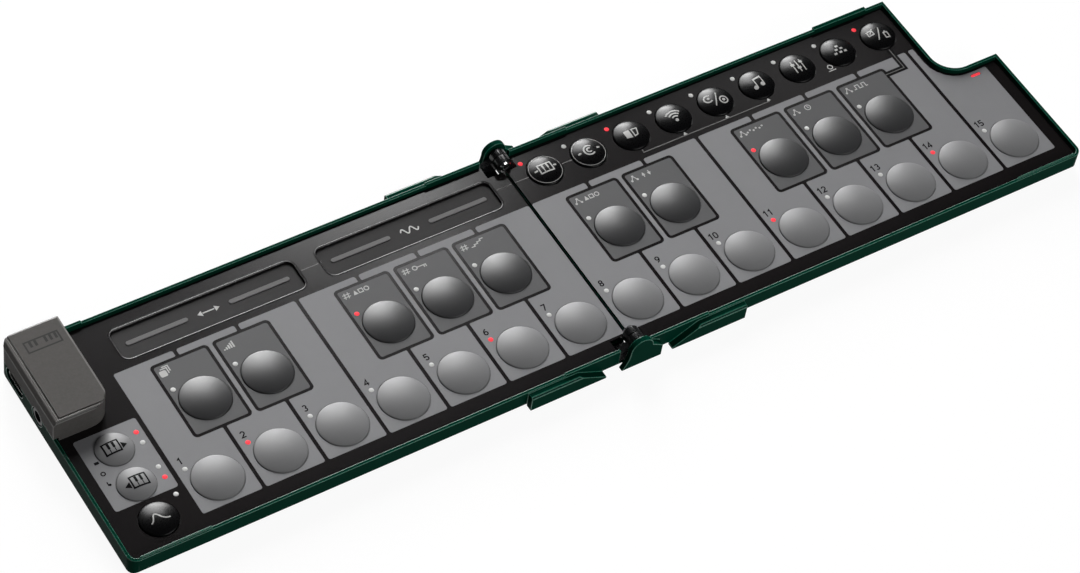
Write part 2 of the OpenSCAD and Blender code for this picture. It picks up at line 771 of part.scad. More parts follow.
module pipes(lights) {
    for (p = lights) translate([p[0], p[1], z_board_top]) cylinder(d = pipe_d, h = z_panel - z_board_top);
}

module feet(places) {
    for (p = places) translate([p[0], p[1], 0]) cylinder(d = foot_d, h = z_base + foot_pocket);
}

// Left half

module left_case() {
    color(CASE_GREEN) difference() {
        tray(LEFT, concat(LEFT_POSTS, BLOCK_POSTS), LEFT_FEET);
        along_x(-half_w - EPS, port_depth - half_w + EPS)
            translate([y_usb, z_usb]) round_slot(usb_w + 2 * usb_clear, usb_h + 2 * usb_clear);
        jack_hole();
    }
}

module jack_hole() {
    translate([-half_w - EPS, y_jack, z_jack]) rotate([0, 90, 0])
        cylinder(r = jack_hole_r, h = port_depth + 2 * EPS);
}

module left_board() {
    color(BOARD_GREEN) board(LEFT, concat(LEFT_POSTS, BLOCK_POSTS));
}

module left_mat() {
    caps = concat(LEFT_KEYS, LEFT_BUTTONS);
    x0 = white_x(1) - mat_reach;
    color(MAT_GREY) difference() {
        slab(z_board_top, z_mat_top) {
            soft_rect(x0, y_white - mat_reach, -bay_left, y_black + mat_reach,
                [mat_r, mat_r, mat_r, mat_r]);
            soft_rect(x_column - mat_reach, column_y(1) - button_reach, x0 + mat_reach,
                column_y(3) + button_reach, [mat_r, 0, 0, mat_r]);
        }
        mat_holes(caps, LEFT_LIGHTS);
    }
}

module left_panel() {
    cut_x = block_x - block_lap;
    cut_y = block_y + block_lap;
    cut_r = block_corner_r - block_lap;
    color(PANEL_BLACK) difference() {
        panel(LEFT, LEFT_KEYS, LEFT_BUTTONS, LEFT_LIGHTS, LEFT_POSTS);
        slab(z_under - EPS, z_panel + EPS)
            soft_rect(-half_w, cut_y, cut_x, y_face, [0, cut_r, 0, 0]);
        strip_opening(pitch_x);
        strip_opening(mod_x);
    }
}

module pitch_strip() {
    color(GLOSS_BLACK) touch_strip(pitch_x);
}

module mod_strip() {
    color(GLOSS_BLACK) touch_strip(mod_x);
}

module left_light_pipes() {
    color(LAMP_WHITE) pipes(LEFT_LIGHTS);
}

module block_outline(inset) {
    r = block_corner_r - inset;
    rear_r = rear_corner_r - inset;
    soft_rect(inset - half_w, block_y + inset, block_x - inset, y_face - inset, [0, r, 0, rear_r]);
}

// Triangle that takes the sharp edge off at the point (at, z_block), on the side that step points to
module top_slope(at, step, size) {
    polygon([
        [at - step * EPS, z_block - size - EPS],
        [at + step * (size + EPS), z_block + EPS],
        [at - step * EPS, z_block + EPS]
    ]);
}

module block_cover() {
    seat = block_wall + panel_clear;
    color(BLOCK_GREY) {
        difference() {
            slab(z_panel, z_block) block_outline(0);
            slab(z_panel - EPS, z_roof) block_outline(block_wall);
            slab(z_panel - EPS, z_lip) difference() {
                block_outline(-EPS);
                half_outline(LEFT, seat, 0);
            }
            jack_hole();
            along_x(-half_w - EPS, block_x + EPS) top_slope(block_y, 1, block_chamfer);
            along_x(-half_w - EPS, block_x + EPS) top_slope(y_face, -1, block_chamfer);
            along_y(block_y - EPS, y_face + EPS) top_slope(-half_w, 1, block_side_chamfer);
            along_y(block_y - EPS, y_face + EPS) top_slope(block_x, -1, block_chamfer);
            translate([groove_side - half_w, block_y + groove_front, z_block - groove])
                cube([groove, block_d, groove + EPS]);
            translate([groove_side - half_w, block_y + groove_front, z_block - groove])
                cube([block_w, groove, groove + EPS]);
        }
        for (p = BLOCK_POSTS) translate([p[0], p[1], z_boss]) difference() {
            cylinder(d = post_d, h = z_roof - z_boss + EPS);
            translate([0, 0, -EPS]) cylinder(d = screw_d + 2 * thread_clear, h = 2 * screw_bite + EPS);
        }
    }
}

module battery() {
    x0 = block_wall + battery_gap - half_w;
    y1 = y_face - block_wall - battery_gap;
    r = battery_r;
    color(CELL_SILVER) slab(z_roof - battery_t, z_roof)
        soft_rect(x0, y1 - battery_len, x0 + battery_w, y1, [r, r, r, r]);
}

module usb_socket() {
    x0 = usb_recess - half_w;
    color(STEEL) {
        difference() {
            along_x(x0, x0 + usb_len) translate([y_usb, z_usb]) round_slot(usb_w, usb_h);
            along_x(x0 - EPS, x0 + usb_len - usb_wall) translate([y_usb, z_usb])
                round_slot(usb_w - 2 * usb_wall, usb_h - 2 * usb_wall);
        }
        translate([x0 + usb_tongue_in, y_usb - usb_tongue_w / 2, z_usb - usb_tongue_t / 2])
            cube([usb_len - usb_tongue_in, usb_tongue_w, usb_tongue_t]);
    }
}

module jack_socket() {
    body_x = port_depth + jack_clear - half_w;
    nose_x = jack_recess - half_w;
    color(GLOSS_BLACK) difference() {
        union() {
            translate([body_x, y_jack - jack_body_w / 2, z_board_top])
                cube([jack_body_len, jack_body_w, jack_body_h]);
            translate([nose_x, y_jack, z_jack]) rotate([0, 90, 0])
                cylinder(d = jack_nose_d, h = body_x - nose_x + EPS);
        }
        translate([nose_x - EPS, y_jack, z_jack]) rotate([0, 90, 0])
            cylinder(d = jack_bore_d, h = jack_bore_len + EPS);
    }
}

// One front bracket: a base on the floor, a web and a knuckle between y0 and y1
module bracket(reach, y0, y1, bore_d, screw_at) {
    near = x_fold + bay_clear;
    shoulder = z_axis - knuckle_d / 2 + near;
    difference() {
        union() {
            translate([near, -knuckle_out, z_floor])
                cube([reach - near, knuckle_out - bracket_in, bracket_t]);
            along_y(-y1, -y0) {
                translate([0, z_axis]) circle(d = knuckle_d);
                polygon([
                    [near, z_floor],
                    [reach, z_floor],
                    [reach, shoulder],
                    [knuckle_d / 2, z_axis],
                    [0, z_axis],
                    [near, z_axis - knuckle_d / 4]
                ]);
            }
        }
        translate([0, -y1 - EPS, z_axis]) rotate([-90, 0, 0]) cylinder(d = bore_d, h = y1 - y0 + 2 * EPS);
        translate([screw_at[0], screw_at[1], z_floor - EPS])
            cylinder(d = screw_d + 2 * thread_clear, h = bracket_t + 2 * EPS);
    }
}

module left_hinge_brackets() {
    at = LEFT_BRACKET_SCREWS[0];
    color(GLOSS_BLACK) front_and_rear() mirror([1, 0, 0])
        bracket(bracket_left, knuckle_out - knuckle_w, knuckle_out, pin_d + 2 * pin_run, [-at[0], at[1]]);
}

module left_screws() {
    color(STEEL) {
        for (p = concat(LEFT_POSTS, BLOCK_POSTS)) screw(p, z_boss + screw_bite - EPS);
        for (p = LEFT_BRACKET_SCREWS) screw(p, z_floor + bracket_t);
    }
}

module left_feet() {
    color(PANEL_BLACK) feet(LEFT_FEET);
}

// Right half

module right_case() {
    color(CASE_GREEN) {
        tray(RIGHT, RIGHT_POSTS, RIGHT_FEET);
        front_and_rear() difference() {
            ear();
            translate([0, -ear_in - ear_hole, z_axis]) rotate([-90, 0, 0])
                cylinder(d = pin_d + 2 * thread_clear, h = ear_hole + EPS);
        }
    }
}

module right_board() {
    color(BOARD_GREEN) board(RIGHT, RIGHT_POSTS);
}

module right_mat() {
    caps = concat(RIGHT_KEYS, RIGHT_BUTTONS);
    x0 = bay_right;
    color(MAT_GREY) difference() {
        slab(z_board_top, z_mat_top) {
            soft_rect(x0, y_white - mat_reach, white_x(WHITE_COUNT) + button_reach, y_white + mat_reach,
                [mat_r, mat_r, mat_r, 0]);
            soft_rect(x0, y_white, black_x(BLACK_COUNT) + mat_reach, y_black + mat_reach, [0, 0, mat_r, 0]);
            soft_rect(x0, y_black, function_x(FUNCTION_COUNT) + button_reach, y_function + button_reach,
                [0, 0, mat_r, mat_r]);
        }
        mat_holes(caps, RIGHT_LIGHTS);
    }
}

module right_panel() {
    color(PANEL_BLACK) difference() {
        panel(RIGHT, RIGHT_KEYS, RIGHT_BUTTONS, RIGHT_LIGHTS, RIGHT_POSTS);
        translate(status_at) slab(z_under - EPS, z_panel + EPS)
            round_slot(status_len + 2 * pipe_clear, status_w + 2 * pipe_clear);
    }
}

module right_light_pipes() {
    color(LAMP_WHITE) {
        pipes(RIGHT_LIGHTS);
        translate(status_at) slab(z_board_top, z_panel) round_slot(status_len, status_w);
    }
}

module right_hinge_brackets() {
    color(GLOSS_BLACK) front_and_rear()
        bracket(bracket_right, knuckle_in, knuckle_mid, pin_d + 2 * thread_clear, RIGHT_BRACKET_SCREWS[0]);
}

module hinge_pins() {
    color(STEEL) front_and_rear() translate([0, -pin_tip, z_axis]) rotate([-90, 0, 0]) {
        cylinder(d = pin_d, h = pin_tip - knuckle_in + EPS);
        translate([0, 0, pin_tip - knuckle_in]) cylinder(d = pin_head_d, h = pin_head_t);
    }
}

module right_screws() {
    color(STEEL) {
        for (p = RIGHT_POSTS) screw(p, z_boss + screw_bite - EPS);
        for (p = RIGHT_BRACKET_SCREWS) screw(p, z_floor + bracket_t);
    }
}

module right_feet() {
    color(PANEL_BLACK) feet(RIGHT_FEET);
}

// Caps

module white_key(i) {
    color(KEY_GREY) cap([white_x(i), y_white], key_cap_d);
}

module black_key(i) {
    color(DARK_GREY) cap([black_x(i), y_black], key_cap_d);
}

module function_button(i) {
    color(GLOSS_BLACK) cap([function_x(i), y_function], button_cap_d);
}

module column_button(i) {
    color(i == 1 ? GLOSS_BLACK : KEY_GREY) cap([x_column, column_y(i)], button_cap_d);
}

left_case();
left_board();
left_mat();
left_panel();
pitch_strip();
mod_strip();
left_light_pipes();
block_cover();
battery();
usb_socket();
jack_socket();
left_hinge_brackets();
left_screws();
left_feet();
right_case();
right_board();
right_mat();
right_panel();
right_light_pipes();
right_hinge_brackets();
hinge_pins();
right_screws();
right_feet();
for (i = [1 : WHITE_COUNT]) white_key(i);
for (i = [1 : BLACK_COUNT]) black_key(i);
for (i = [1 : FUNCTION_COUNT]) function_button(i);
for (i = [1 : len(COLUMN_NAMES)]) column_button(i);
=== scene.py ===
import json
import math

import bmesh
import bpy
from mathutils import Matrix, Vector

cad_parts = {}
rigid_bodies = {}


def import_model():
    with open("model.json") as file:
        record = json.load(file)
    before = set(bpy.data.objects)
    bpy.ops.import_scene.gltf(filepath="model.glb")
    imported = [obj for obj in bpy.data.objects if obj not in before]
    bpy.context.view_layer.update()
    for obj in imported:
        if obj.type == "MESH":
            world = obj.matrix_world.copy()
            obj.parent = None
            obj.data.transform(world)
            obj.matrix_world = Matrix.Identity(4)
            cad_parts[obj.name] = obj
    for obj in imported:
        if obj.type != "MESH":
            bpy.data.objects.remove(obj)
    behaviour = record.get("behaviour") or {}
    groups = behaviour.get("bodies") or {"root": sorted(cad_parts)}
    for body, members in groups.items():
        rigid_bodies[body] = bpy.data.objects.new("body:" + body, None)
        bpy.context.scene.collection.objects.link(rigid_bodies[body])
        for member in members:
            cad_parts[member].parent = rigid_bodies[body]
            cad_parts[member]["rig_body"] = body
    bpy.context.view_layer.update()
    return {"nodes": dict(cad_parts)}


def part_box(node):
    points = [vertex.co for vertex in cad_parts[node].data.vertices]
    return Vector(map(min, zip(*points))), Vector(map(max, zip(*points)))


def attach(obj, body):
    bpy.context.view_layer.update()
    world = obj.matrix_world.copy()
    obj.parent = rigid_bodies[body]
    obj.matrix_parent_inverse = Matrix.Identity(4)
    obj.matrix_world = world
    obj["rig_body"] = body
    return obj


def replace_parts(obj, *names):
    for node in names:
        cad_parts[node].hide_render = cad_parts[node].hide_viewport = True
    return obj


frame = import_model()
cad = frame["nodes"]

# Viewpoint: a long lens from the front left, looking down on the keys at about 51 degrees.
# Place and turn come from fitting the key rows of the photograph to their real spacing.
MM = 0.001
scene = bpy.context.scene
eye = Vector((-422.5, -499.8, 802.7)) * MM
picture_right = Vector((0.84525, -0.52270, 0.11108))
picture_up = Vector((0.35410, 0.70356, 0.61613))
towards_eye = Vector((-0.40020, -0.48145, 0.77977))


def put(name, data):
    """An object with this data, in the scene."""
    made = bpy.data.objects.new(name, data)
    scene.collection.objects.link(made)
    return made


view_point = bpy.data.cameras.new("photo_view")
view_point.sensor_fit = "HORIZONTAL"
view_point.sensor_width = 36.0
view_point.lens = 115.97
camera = put("photo_view", view_point)
turn = Matrix((picture_right, picture_up, towards_eye)).transposed()
camera.matrix_world = Matrix.Translation(eye) @ turn.to_4x4()
scene.camera = camera
scene.view_settings.view_transform = "Standard"


# Studio: a matt white sweep, two softboxes behind the part, a card in front of it, two small cards that
# put a sheen on the panels, and a sky that is bright behind the part.
# The sweep shows white to the eye and in reflections, and keeps a faint shadow of the part.
def linear(code):
    """sRGB hex to the linear colour that a socket takes."""
    parts = [int(code[i:i + 2], 16) / 255 for i in (1, 3, 5)]
    return [p / 12.92 if p <= 0.04045 else ((p + 0.055) / 1.055) ** 2.4 for p in parts] + [1.0]


def add(tree, kind, inputs=None, **settings):
    """Adds a node: inputs are values, sockets, or nodes, of which the first output is taken."""
    made = tree.nodes.new(kind)
    for name, value in settings.items():
        setattr(made, name, value)
    for name, value in (inputs or {}).items():
        if isinstance(value, bpy.types.Node):
            value = value.outputs[0]
        if isinstance(value, bpy.types.NodeSocket):
            tree.links.new(value, made.inputs[name])
        else:
            made.inputs[name].default_value = value
    return made


def blank(kind, name):
    """A new material or world, and its node tree with no nodes."""
    made = kind.new(name)
    made.use_nodes = True
    made.node_tree.nodes.clear()
    return made, made.node_tree


sweep_paper, tree = blank(bpy.data.materials, "matt_white_paper")
ray = add(tree, "ShaderNodeLightPath")
looked_at = add(tree, "ShaderNodeMath",
                {0: ray.outputs["Is Camera Ray"], 1: ray.outputs["Is Glossy Ray"]}, operation="MAXIMUM")
looked_at = add(tree, "ShaderNodeMath",
                {0: looked_at, 1: ray.outputs["Is Transmission Ray"]}, operation="MAXIMUM")
# Lit paper gives back a fifth of the light on it; to the eye and in reflections it is white.
lift = add(tree, "ShaderNodeMapRange", {"Value": looked_at, "To Min": 0.2, "To Max": 0.93})
paper = add(tree, "ShaderNodeBsdfDiffuse", {"Color": linear("#555555")})
glow = add(tree, "ShaderNodeEmission", {"Color": linear("#ffffff"), "Strength": lift})
both = add(tree, "ShaderNodeAddShader", {0: paper, 1: glow})
add(tree, "ShaderNodeOutputMaterial", {"Surface": both})

SWEEP_HALF = 4.0
sweep_mesh = bpy.data.meshes.new("white_sweep")
sweep_mesh.from_pydata([(sx * SWEEP_HALF, sy * SWEEP_HALF, 0)
                        for sx, sy in ((-1, -1), (1, -1), (1, 1), (-1, 1))], [], [(0, 1, 2, 3)])
sweep_mesh.materials.append(sweep_paper)
sweep = put("white_sweep", sweep_mesh)

BRIGHT_SIDE = (0.26, 0.966, 0.0)
sky, tree = blank(bpy.data.worlds, "studio_sky")
direction = add(tree, "ShaderNodeTexCoord").outputs["Generated"]
axes = add(tree, "ShaderNodeSeparateXYZ", {"Vector": direction})
climb = add(tree, "ShaderNodeMapRange", {"Value": axes.outputs["Z"], "From Min": 0.0, "From Max": 0.9},
            interpolation_type="SMOOTHSTEP")
facing = add(tree, "ShaderNodeVectorMath", {0: direction, 1: BRIGHT_SIDE}, operation="DOT_PRODUCT")
rearward = add(tree, "ShaderNodeMapRange",
               {"Value": facing.outputs["Value"], "From Min": 0.7, "From Max": 0.97},
               interpolation_type="SMOOTHSTEP")
low_sky = add(tree, "ShaderNodeMix",
              {0: rearward, 6: linear("#121213"), 7: linear("#dcdcdc")}, data_type="RGBA")
shade = add(tree, "ShaderNodeMix",
            {0: climb, 6: low_sky.outputs[2], 7: linear("#303032")}, data_type="RGBA")
air = add(tree, "ShaderNodeBackground", {"Color": shade.outputs[2], "Strength": 1.0})
add(tree, "ShaderNodeOutputWorld", {"Surface": air})
scene.world = sky

# Each lamp: name, place and aim in metres, width and height in metres, power in watts, spread in degrees
LAMPS = [
    ("rear_softbox", (0.30, 1.20, 0.38), (-0.20, 0.0, 0.0), 1.0, 0.45, 2.0, 50),
    ("upper_softbox", (0.20, 1.00, 0.80), (-0.20, 0.0, 0.0), 0.8, 0.5, 1.7, 60),
    ("sheen_card", (0.417, 0.742, 0.981), (-0.06, 0.035, 0.0), 0.16, 0.05, 0.40, 180),
    ("faint_sheen_card", (0.715, 0.690, 0.978), (0.09, 0.035, 0.0), 0.20, 0.05, 0.06, 180),
    ("front_card", (0.40, -1.10, 0.60), (0.0, 0.0, 0.0), 0.9, 0.4, 7.0, 180),
]
for name, place, aim, width, tall, power, spread in LAMPS:
    lamp = bpy.data.lights.new(name, "AREA")
    lamp.shape = "RECTANGLE"
    lamp.size = width
    lamp.size_y = tall
    lamp.energy = power
    lamp.spread = math.radians(spread)
    holder = put(name, lamp)
    towards = Vector(aim) - Vector(place)
    holder.matrix_world = Matrix.Translation(place) @ towards.to_track_quat("-Z", "Y").to_matrix().to_4x4()


# Trays: two shallow cases moulded in dark green ABS, with a lip round the panel, stop pads on the lip,
# bumpers on the long sides and, on the right tray, ears that hold the hinge pins.
# Moulded edges have a small radius, so a merged copy of each solid gets one.
def two_tones(tree, deep, pale, size_mm, noise):
    """Nodes that mix two colours in patches of a size: the patches, and the colour."""
    patches = add(tree, "ShaderNodeTexNoise", {"Scale": 1 / (size_mm * MM), **noise})
    mixed = add(tree, "ShaderNodeMix", {0: patches, 6: linear(deep), 7: linear(pale)}, data_type="RGBA")
    return patches, mixed.outputs[2]


def surface(tree, colour, noise, gloss, inputs):
    """Nodes from a colour, and a noise that varies the gloss, to the output."""
    shine = add(tree, "ShaderNodeMapRange",
                {"Value": noise, "From Min": 0.3, "From Max": 0.7, "To Min": gloss[0], "To Max": gloss[1]})
    shader = add(tree, "ShaderNodeBsdfPrincipled", {"Base Color": colour, "Roughness": shine, **inputs})
    add(tree, "ShaderNodeOutputMaterial", {"Surface": shader})


def plastic(name, deep, pale, patch_mm, grain_mm, grain_depth_mm, gloss):
    """Plastic or ink with two close colours in soft patches, and a grain in its gloss and relief.
    A real grain is finer than the picture shows, so grain_mm is coarser than it.
    gloss is the least and greatest roughness, and the strength of the reflection."""
    finish, tree = blank(bpy.data.materials, name)
    place = add(tree, "ShaderNodeTexCoord").outputs["Object"]
    _, colour = two_tones(tree, deep, pale, patch_mm, {"Vector": place, "Detail": 4.0, "Roughness": 0.6})
    grain = add(tree, "ShaderNodeTexNoise", {"Vector": place, "Scale": 1 / (grain_mm * MM), "Detail": 2.0})
    relief = add(tree, "ShaderNodeBump",
                 {"Height": grain, "Strength": 1.0, "Distance": grain_depth_mm * MM})
    surface(tree, colour, grain, gloss, {"IOR": 1.5, "Specular IOR Level": gloss[2], "Normal": relief})
    return finish


def piece_of(mesh, body, finish=None):
    """A piece with this mesh that rides on a body."""
    if finish:
        mesh.materials.append(finish)
    piece = put(mesh.name, mesh)
    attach(piece, body)
    return piece


SAME_POINT = 0.002
FLAT_ANGLE, EDGE_ANGLE = math.radians(0.5), math.radians(35)


def moulding(node, name, radius_mm, finish, segments=3, join_flats=False):
    """A merged copy of a CAD node with rounded edges, which stands for it on the same body."""
    source = cad[node].data
    mesh = bpy.data.meshes.new(name)
    mesh.from_pydata([v.co for v in source.vertices], [], [p.vertices[:] for p in source.polygons])
    form = bmesh.new()
    form.from_mesh(mesh)
    bmesh.ops.remove_doubles(form, verts=form.verts, dist=SAME_POINT * MM)
    if join_flats:
        bmesh.ops.dissolve_limit(form, angle_limit=FLAT_ANGLE, verts=form.verts, edges=form.edges)
    form.to_mesh(mesh)
    form.free()
    mesh.shade_smooth()
    piece = piece_of(mesh, cad[node]["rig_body"], finish)
    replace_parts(piece, node)
    rounding = piece.modifiers.new("moulded edges", "BEVEL")
    rounding.width = radius_mm * MM
    rounding.segments = segments
    rounding.limit_method = "ANGLE"
    rounding.angle_limit = EDGE_ANGLE
    rounding.use_clamp_overlap = False
    rounding.face_strength_mode = "FSTR_ALL"
    flats = piece.modifiers.new("flat faces", "WEIGHTED_NORMAL")
    flats.use_face_influence = True
    return piece


# Moulded ABS in a deep bottle green: dull flat faces with faint flow marks.
green_abs = plastic("moulded_green_abs", "#032d21", "#04372a", 14.0, 0.6, 0.004, (0.30, 0.40, 0.003))
# The rounded edges get a paler and glossier green: a painted highlight, so they draw a thin light line.
green_edge_painted_highlight = plastic("rubbed_green_abs", "#0d5a46", "#167058", 3.0, 0.5, 0.002, (0.24, 0.34, 0.5))
# The faces that meet at the fold are painted matt black: painted shade, so they read as a black line.
fold_painted_shade = plastic("matt_black_seam", "#060807", "#0a0c0b", 6.0, 0.6, 0.004, (0.75, 0.85, 0.1))
TRAY_EDGE = 0.2
FOLD_FACE_X = 0.7
for side in ("left", "right"):
    tray = moulding(f"{side}_case", f"{side}_tray", TRAY_EDGE, green_abs, join_flats=True)
    tray.data.materials.append(fold_painted_shade)
    tray.data.materials.append(green_edge_painted_highlight)
    # The rounded edges take the painted highlight.
    tray.modifiers["moulded edges"].material = 2
    # Faces that meet at the fold take the painted shade.
    for face in tray.data.polygons:
        if abs(face.normal.x) > 0.9 and abs(face.center.x) < FOLD_FACE_X * MM:
            face.material_index = 1


# Boards, contact mats and battery: what the trays hold, seen only through gaps and with the panels off.
# A board with green solder mask, a mat of white silicone over it, and a pouch cell under the block.
# Solder mask: a translucent lacquer over copper, so the green shifts in broad tracks.
solder_mask = plastic("green_solder_mask", "#0b3f24", "#17683c", 5.0, 0.5, 0.01, (0.25, 0.40, 0.5))
# Moulded silicone: soft, milky and almost without shine.
silicone = plastic("moulded_white_silicone", "#b4b4ae", "#c4c4be", 8.0, 0.6, 0.01, (0.55, 0.70, 0.5))
# Pouch foil: a dull silver laminate with small creases.
pouch_foil = plastic("laminated_pouch_foil", "#8f9296", "#a9acb0", 3.0, 0.8, 0.03, (0.28, 0.42, 0.5))
for node, finish in (("left_board", solder_mask), ("right_board", solder_mask), ("left_mat", silicone),
                     ("right_mat", silicone), ("battery", pouch_foil)):
    cad[node].material_slots[0].material = finish


# Key caps: domed caps moulded in grey and dark grey ABS, each held under the panel by its rim.
# Turned from their profile, with a small radius where the dome meets the straight side.
def middle(node):
    """Middle of a CAD node seen from above, in mm."""
    low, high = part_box(node)
    return (low + high).xy * 0.5 / MM


def as_mesh(form, name):
    """Plain mesh of a form, which goes."""
    mesh = bpy.data.meshes.new(name)
    form.to_mesh(mesh)
    form.free()
    return mesh


CREASE_ANGLE = math.radians(40)


def disc(x, y, r, steps):
    """Closed outline of a circle."""
    return [(x + r * math.cos(2 * math.pi * k / steps), y + r * math.sin(2 * math.pi * k / steps))
            for k in range(steps)]


def turned(name, profile, x, y, sides=96):
    """Mesh of a profile of (radius, height) in mm, turned about the vertical through x, y."""
    form = bmesh.new()
    rings = []
    for r, z in profile:
        ring = disc(x, y, r, sides if r > 0 else 1)
        rings.append([form.verts.new((px, py, z)) for px, py in ring])
    for low, high in zip(rings, rings[1:]):
        for k in range(sides):
            corners = [low[k % len(low)], low[(k + 1) % len(low)],
                       high[(k + 1) % len(high)], high[k % len(high)]]
            form.faces.new(list(dict.fromkeys(corners)))
    bmesh.ops.recalc_face_normals(form, faces=form.faces)
    mesh = as_mesh(form, name)
    mesh.transform(Matrix.Scale(MM, 4))
    mesh.shade_smooth()
    mesh.set_sharp_from_angle(angle=CREASE_ANGLE)
    return mesh


CAP_TOP, CAP_CROWN = 7.6, 1.3
CAP_EDGE, EDGE_STEPS, DOME_STEPS = 0.45, 6, 14
CAP_RIM, RIM_LOW, RIM_TOP = 0.55, 4.7, 5.2
PLUNGER_R, PLUNGER_FOOT = 2.4, 4.05


def dome(radius):
    """Radius of the sphere of a cap's top, and the height of its middle."""
    ball = (radius ** 2 + CAP_CROWN ** 2) / (2 * CAP_CROWN)
    return ball, CAP_TOP - ball


def cap_profile(radius):
    """Profile of a cap from the foot of its plunger to the top of its dome."""
    ball, hub = dome(radius)
    inner = radius - CAP_EDGE
    edge_hub = hub + math.sqrt((ball - CAP_EDGE) ** 2 - inner ** 2)
    lean = math.atan2(edge_hub - hub, inner)
    climb = math.pi / 2 - lean
    rim = radius + CAP_RIM
    profile = [(0, PLUNGER_FOOT), (PLUNGER_R, PLUNGER_FOOT), (PLUNGER_R, RIM_LOW), (rim, RIM_LOW),
               (rim, RIM_TOP), (radius, RIM_TOP)]
    for k in range(EDGE_STEPS + 1):
        a = lean * k / EDGE_STEPS
        profile.append((inner + CAP_EDGE * math.cos(a), edge_hub + CAP_EDGE * math.sin(a)))
    for k in range(1, DOME_STEPS):
        a = lean + climb * k / DOME_STEPS
        profile.append((ball * math.cos(a), hub + ball * math.sin(a)))
    return profile + [(0, CAP_TOP)]


KEY_R = 7.7
# Moulded ABS with a soft satin face: light grey for the white keys, dark grey for the others.
grey_abs = plastic("satin_grey_abs", "#767677", "#7e7e7f", 18.0, 0.45, 0.004, (0.40, 0.50, 0.4))
dark_abs = plastic("satin_dark_grey_abs", "#323233", "#39393a", 18.0, 0.45, 0.004, (0.36, 0.46, 0.52))
CAPS = [(f"white_key_{i}", grey_abs, "key_grey") for i in range(1, 16)]
CAPS += [(f"black_key_{i}", dark_abs, "key_dark") for i in range(1, 11)]
for node, finish, slot in CAPS:
    x, y = middle(node)
    cap = piece_of(turned(f"{node}_cap", cap_profile(KEY_R), x, y), f"{node}_body", finish)
    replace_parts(cap, node)


# Button caps: smaller domes of the same kind, moulded in ABS: nine in black along the rear, and in the
# column at the left one in black and two in grey.
BUTTON_R, BUTTON_SIDES = 5.7, 80
# Satin black ABS: a soft reflection of the lamp on the rear of each dome that fades to black in front.
black_abs = plastic("satin_black_abs", "#040405", "#080809", 12.0, 0.4, 0.001, (0.26, 0.32, 0.25))
FUNCTIONS = [(f"function_{i}", black_abs, "button_black") for i in range(1, 10)]
COLUMN = [("curve_button", black_abs, "button_black"), ("octave_down", grey_abs, "key_grey"),
          ("octave_up", grey_abs, "key_grey")]
for node, finish, slot in FUNCTIONS + COLUMN:
    x, y = middle(node)
    mesh = turned(f"{node}_cap", cap_profile(BUTTON_R), x, y, BUTTON_SIDES)
    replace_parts(piece_of(mesh, f"{node}_body", finish), node)


# Signs on the buttons: pad-printed pictures, a thin ink film that follows the dome of its cap.
# Light grey on the black caps, black on the grey ones.
def rounded(corners, steps=6):
    """Closed outline through corners of (x, y, radius)."""
    outline = []
    for i, (x, y, r) in enumerate(corners):
        here = Vector((x, y))
        back = (Vector(corners[i - 1][:2]) - here).normalized()
        ahead = (Vector(corners[(i + 1) % len(corners)][:2]) - here).normalized()
        half = back.angle(ahead) / 2
        hub = here + (back + ahead).normalized() * (r / math.sin(half))
        start = here + back * (r / math.tan(half)) - hub
        end = here + ahead * (r / math.tan(half)) - hub
        first = math.atan2(start.y, start.x)
        swing = math.atan2(end.y, end.x) - first
        swing = (swing + math.pi) % (2 * math.pi) - math.pi
        for k in range(steps + 1):
            a = first + swing * k / steps
            outline.append((hub.x + r * math.cos(a), hub.y + r * math.sin(a)))
    return outline


def bow(x, y, r, first, last, steps=20):
    """Points of an arc, its angles in degrees."""
    turns = [math.radians(first + (last - first) * k / steps) for k in range(steps + 1)]
    return [(x + r * math.cos(a), y + r * math.sin(a)) for a in turns]


def stroke(points, width, closed=False, mitre=0.4):
    """Outlines of a drawn line: one loop, or two where the line is closed."""
    path = [Vector(p) for p in points]
    near, far = [], []
    for i, p in enumerate(path):
        before = path[i - 1] if closed or i else None
        after = path[(i + 1) % len(path)] if closed or i < len(path) - 1 else None
        ahead = (after - p).normalized() if after else (p - before).normalized()
        behind = (p - before).normalized() if before else ahead
        along = (ahead + behind).normalized()
        across = Vector((-along.y, along.x)) * (width / 2) / max(mitre, along.dot(ahead))
        near.append(tuple(p + across))
        far.append(tuple(p - across))
    return [near, far] if closed else [near + far[::-1]]


def bar(x0, y0, x1, y1):
    return [[(x0, y0), (x1, y0), (x1, y1), (x0, y1)]]


def dot(x, y, r):
    return [disc(x, y, r, 24)]


def hoop(x, y, r, width):
    return [disc(x, y, r + width / 2, 40), disc(x, y, r - width / 2, 40)]


def frame_of(x0, y0, x1, y1, width):
    return stroke([(x0, y0), (x1, y0), (x1, y1), (x0, y1)], width, True)


def moved(groups, x, y, scale=1.0):
    """The same outlines at another place and size."""
    return [[[(x + px * scale, y + py * scale) for px, py in loop] for loop in group] for group in groups]


def plain_mesh(holder):
    """Plain mesh of what an object evaluates to; the object goes."""
    bpy.context.view_layer.update()
    shape = holder.evaluated_get(bpy.context.evaluated_depsgraph_get())
    mesh = bpy.data.meshes.new_from_object(shape)
    bpy.data.batch_remove([holder, holder.data])
    return mesh


def joined(meshes):
    """One form of several meshes, which go."""
    form = bmesh.new()
    for mesh in meshes:
        form.from_mesh(mesh)
        bpy.data.meshes.remove(mesh)
    return form


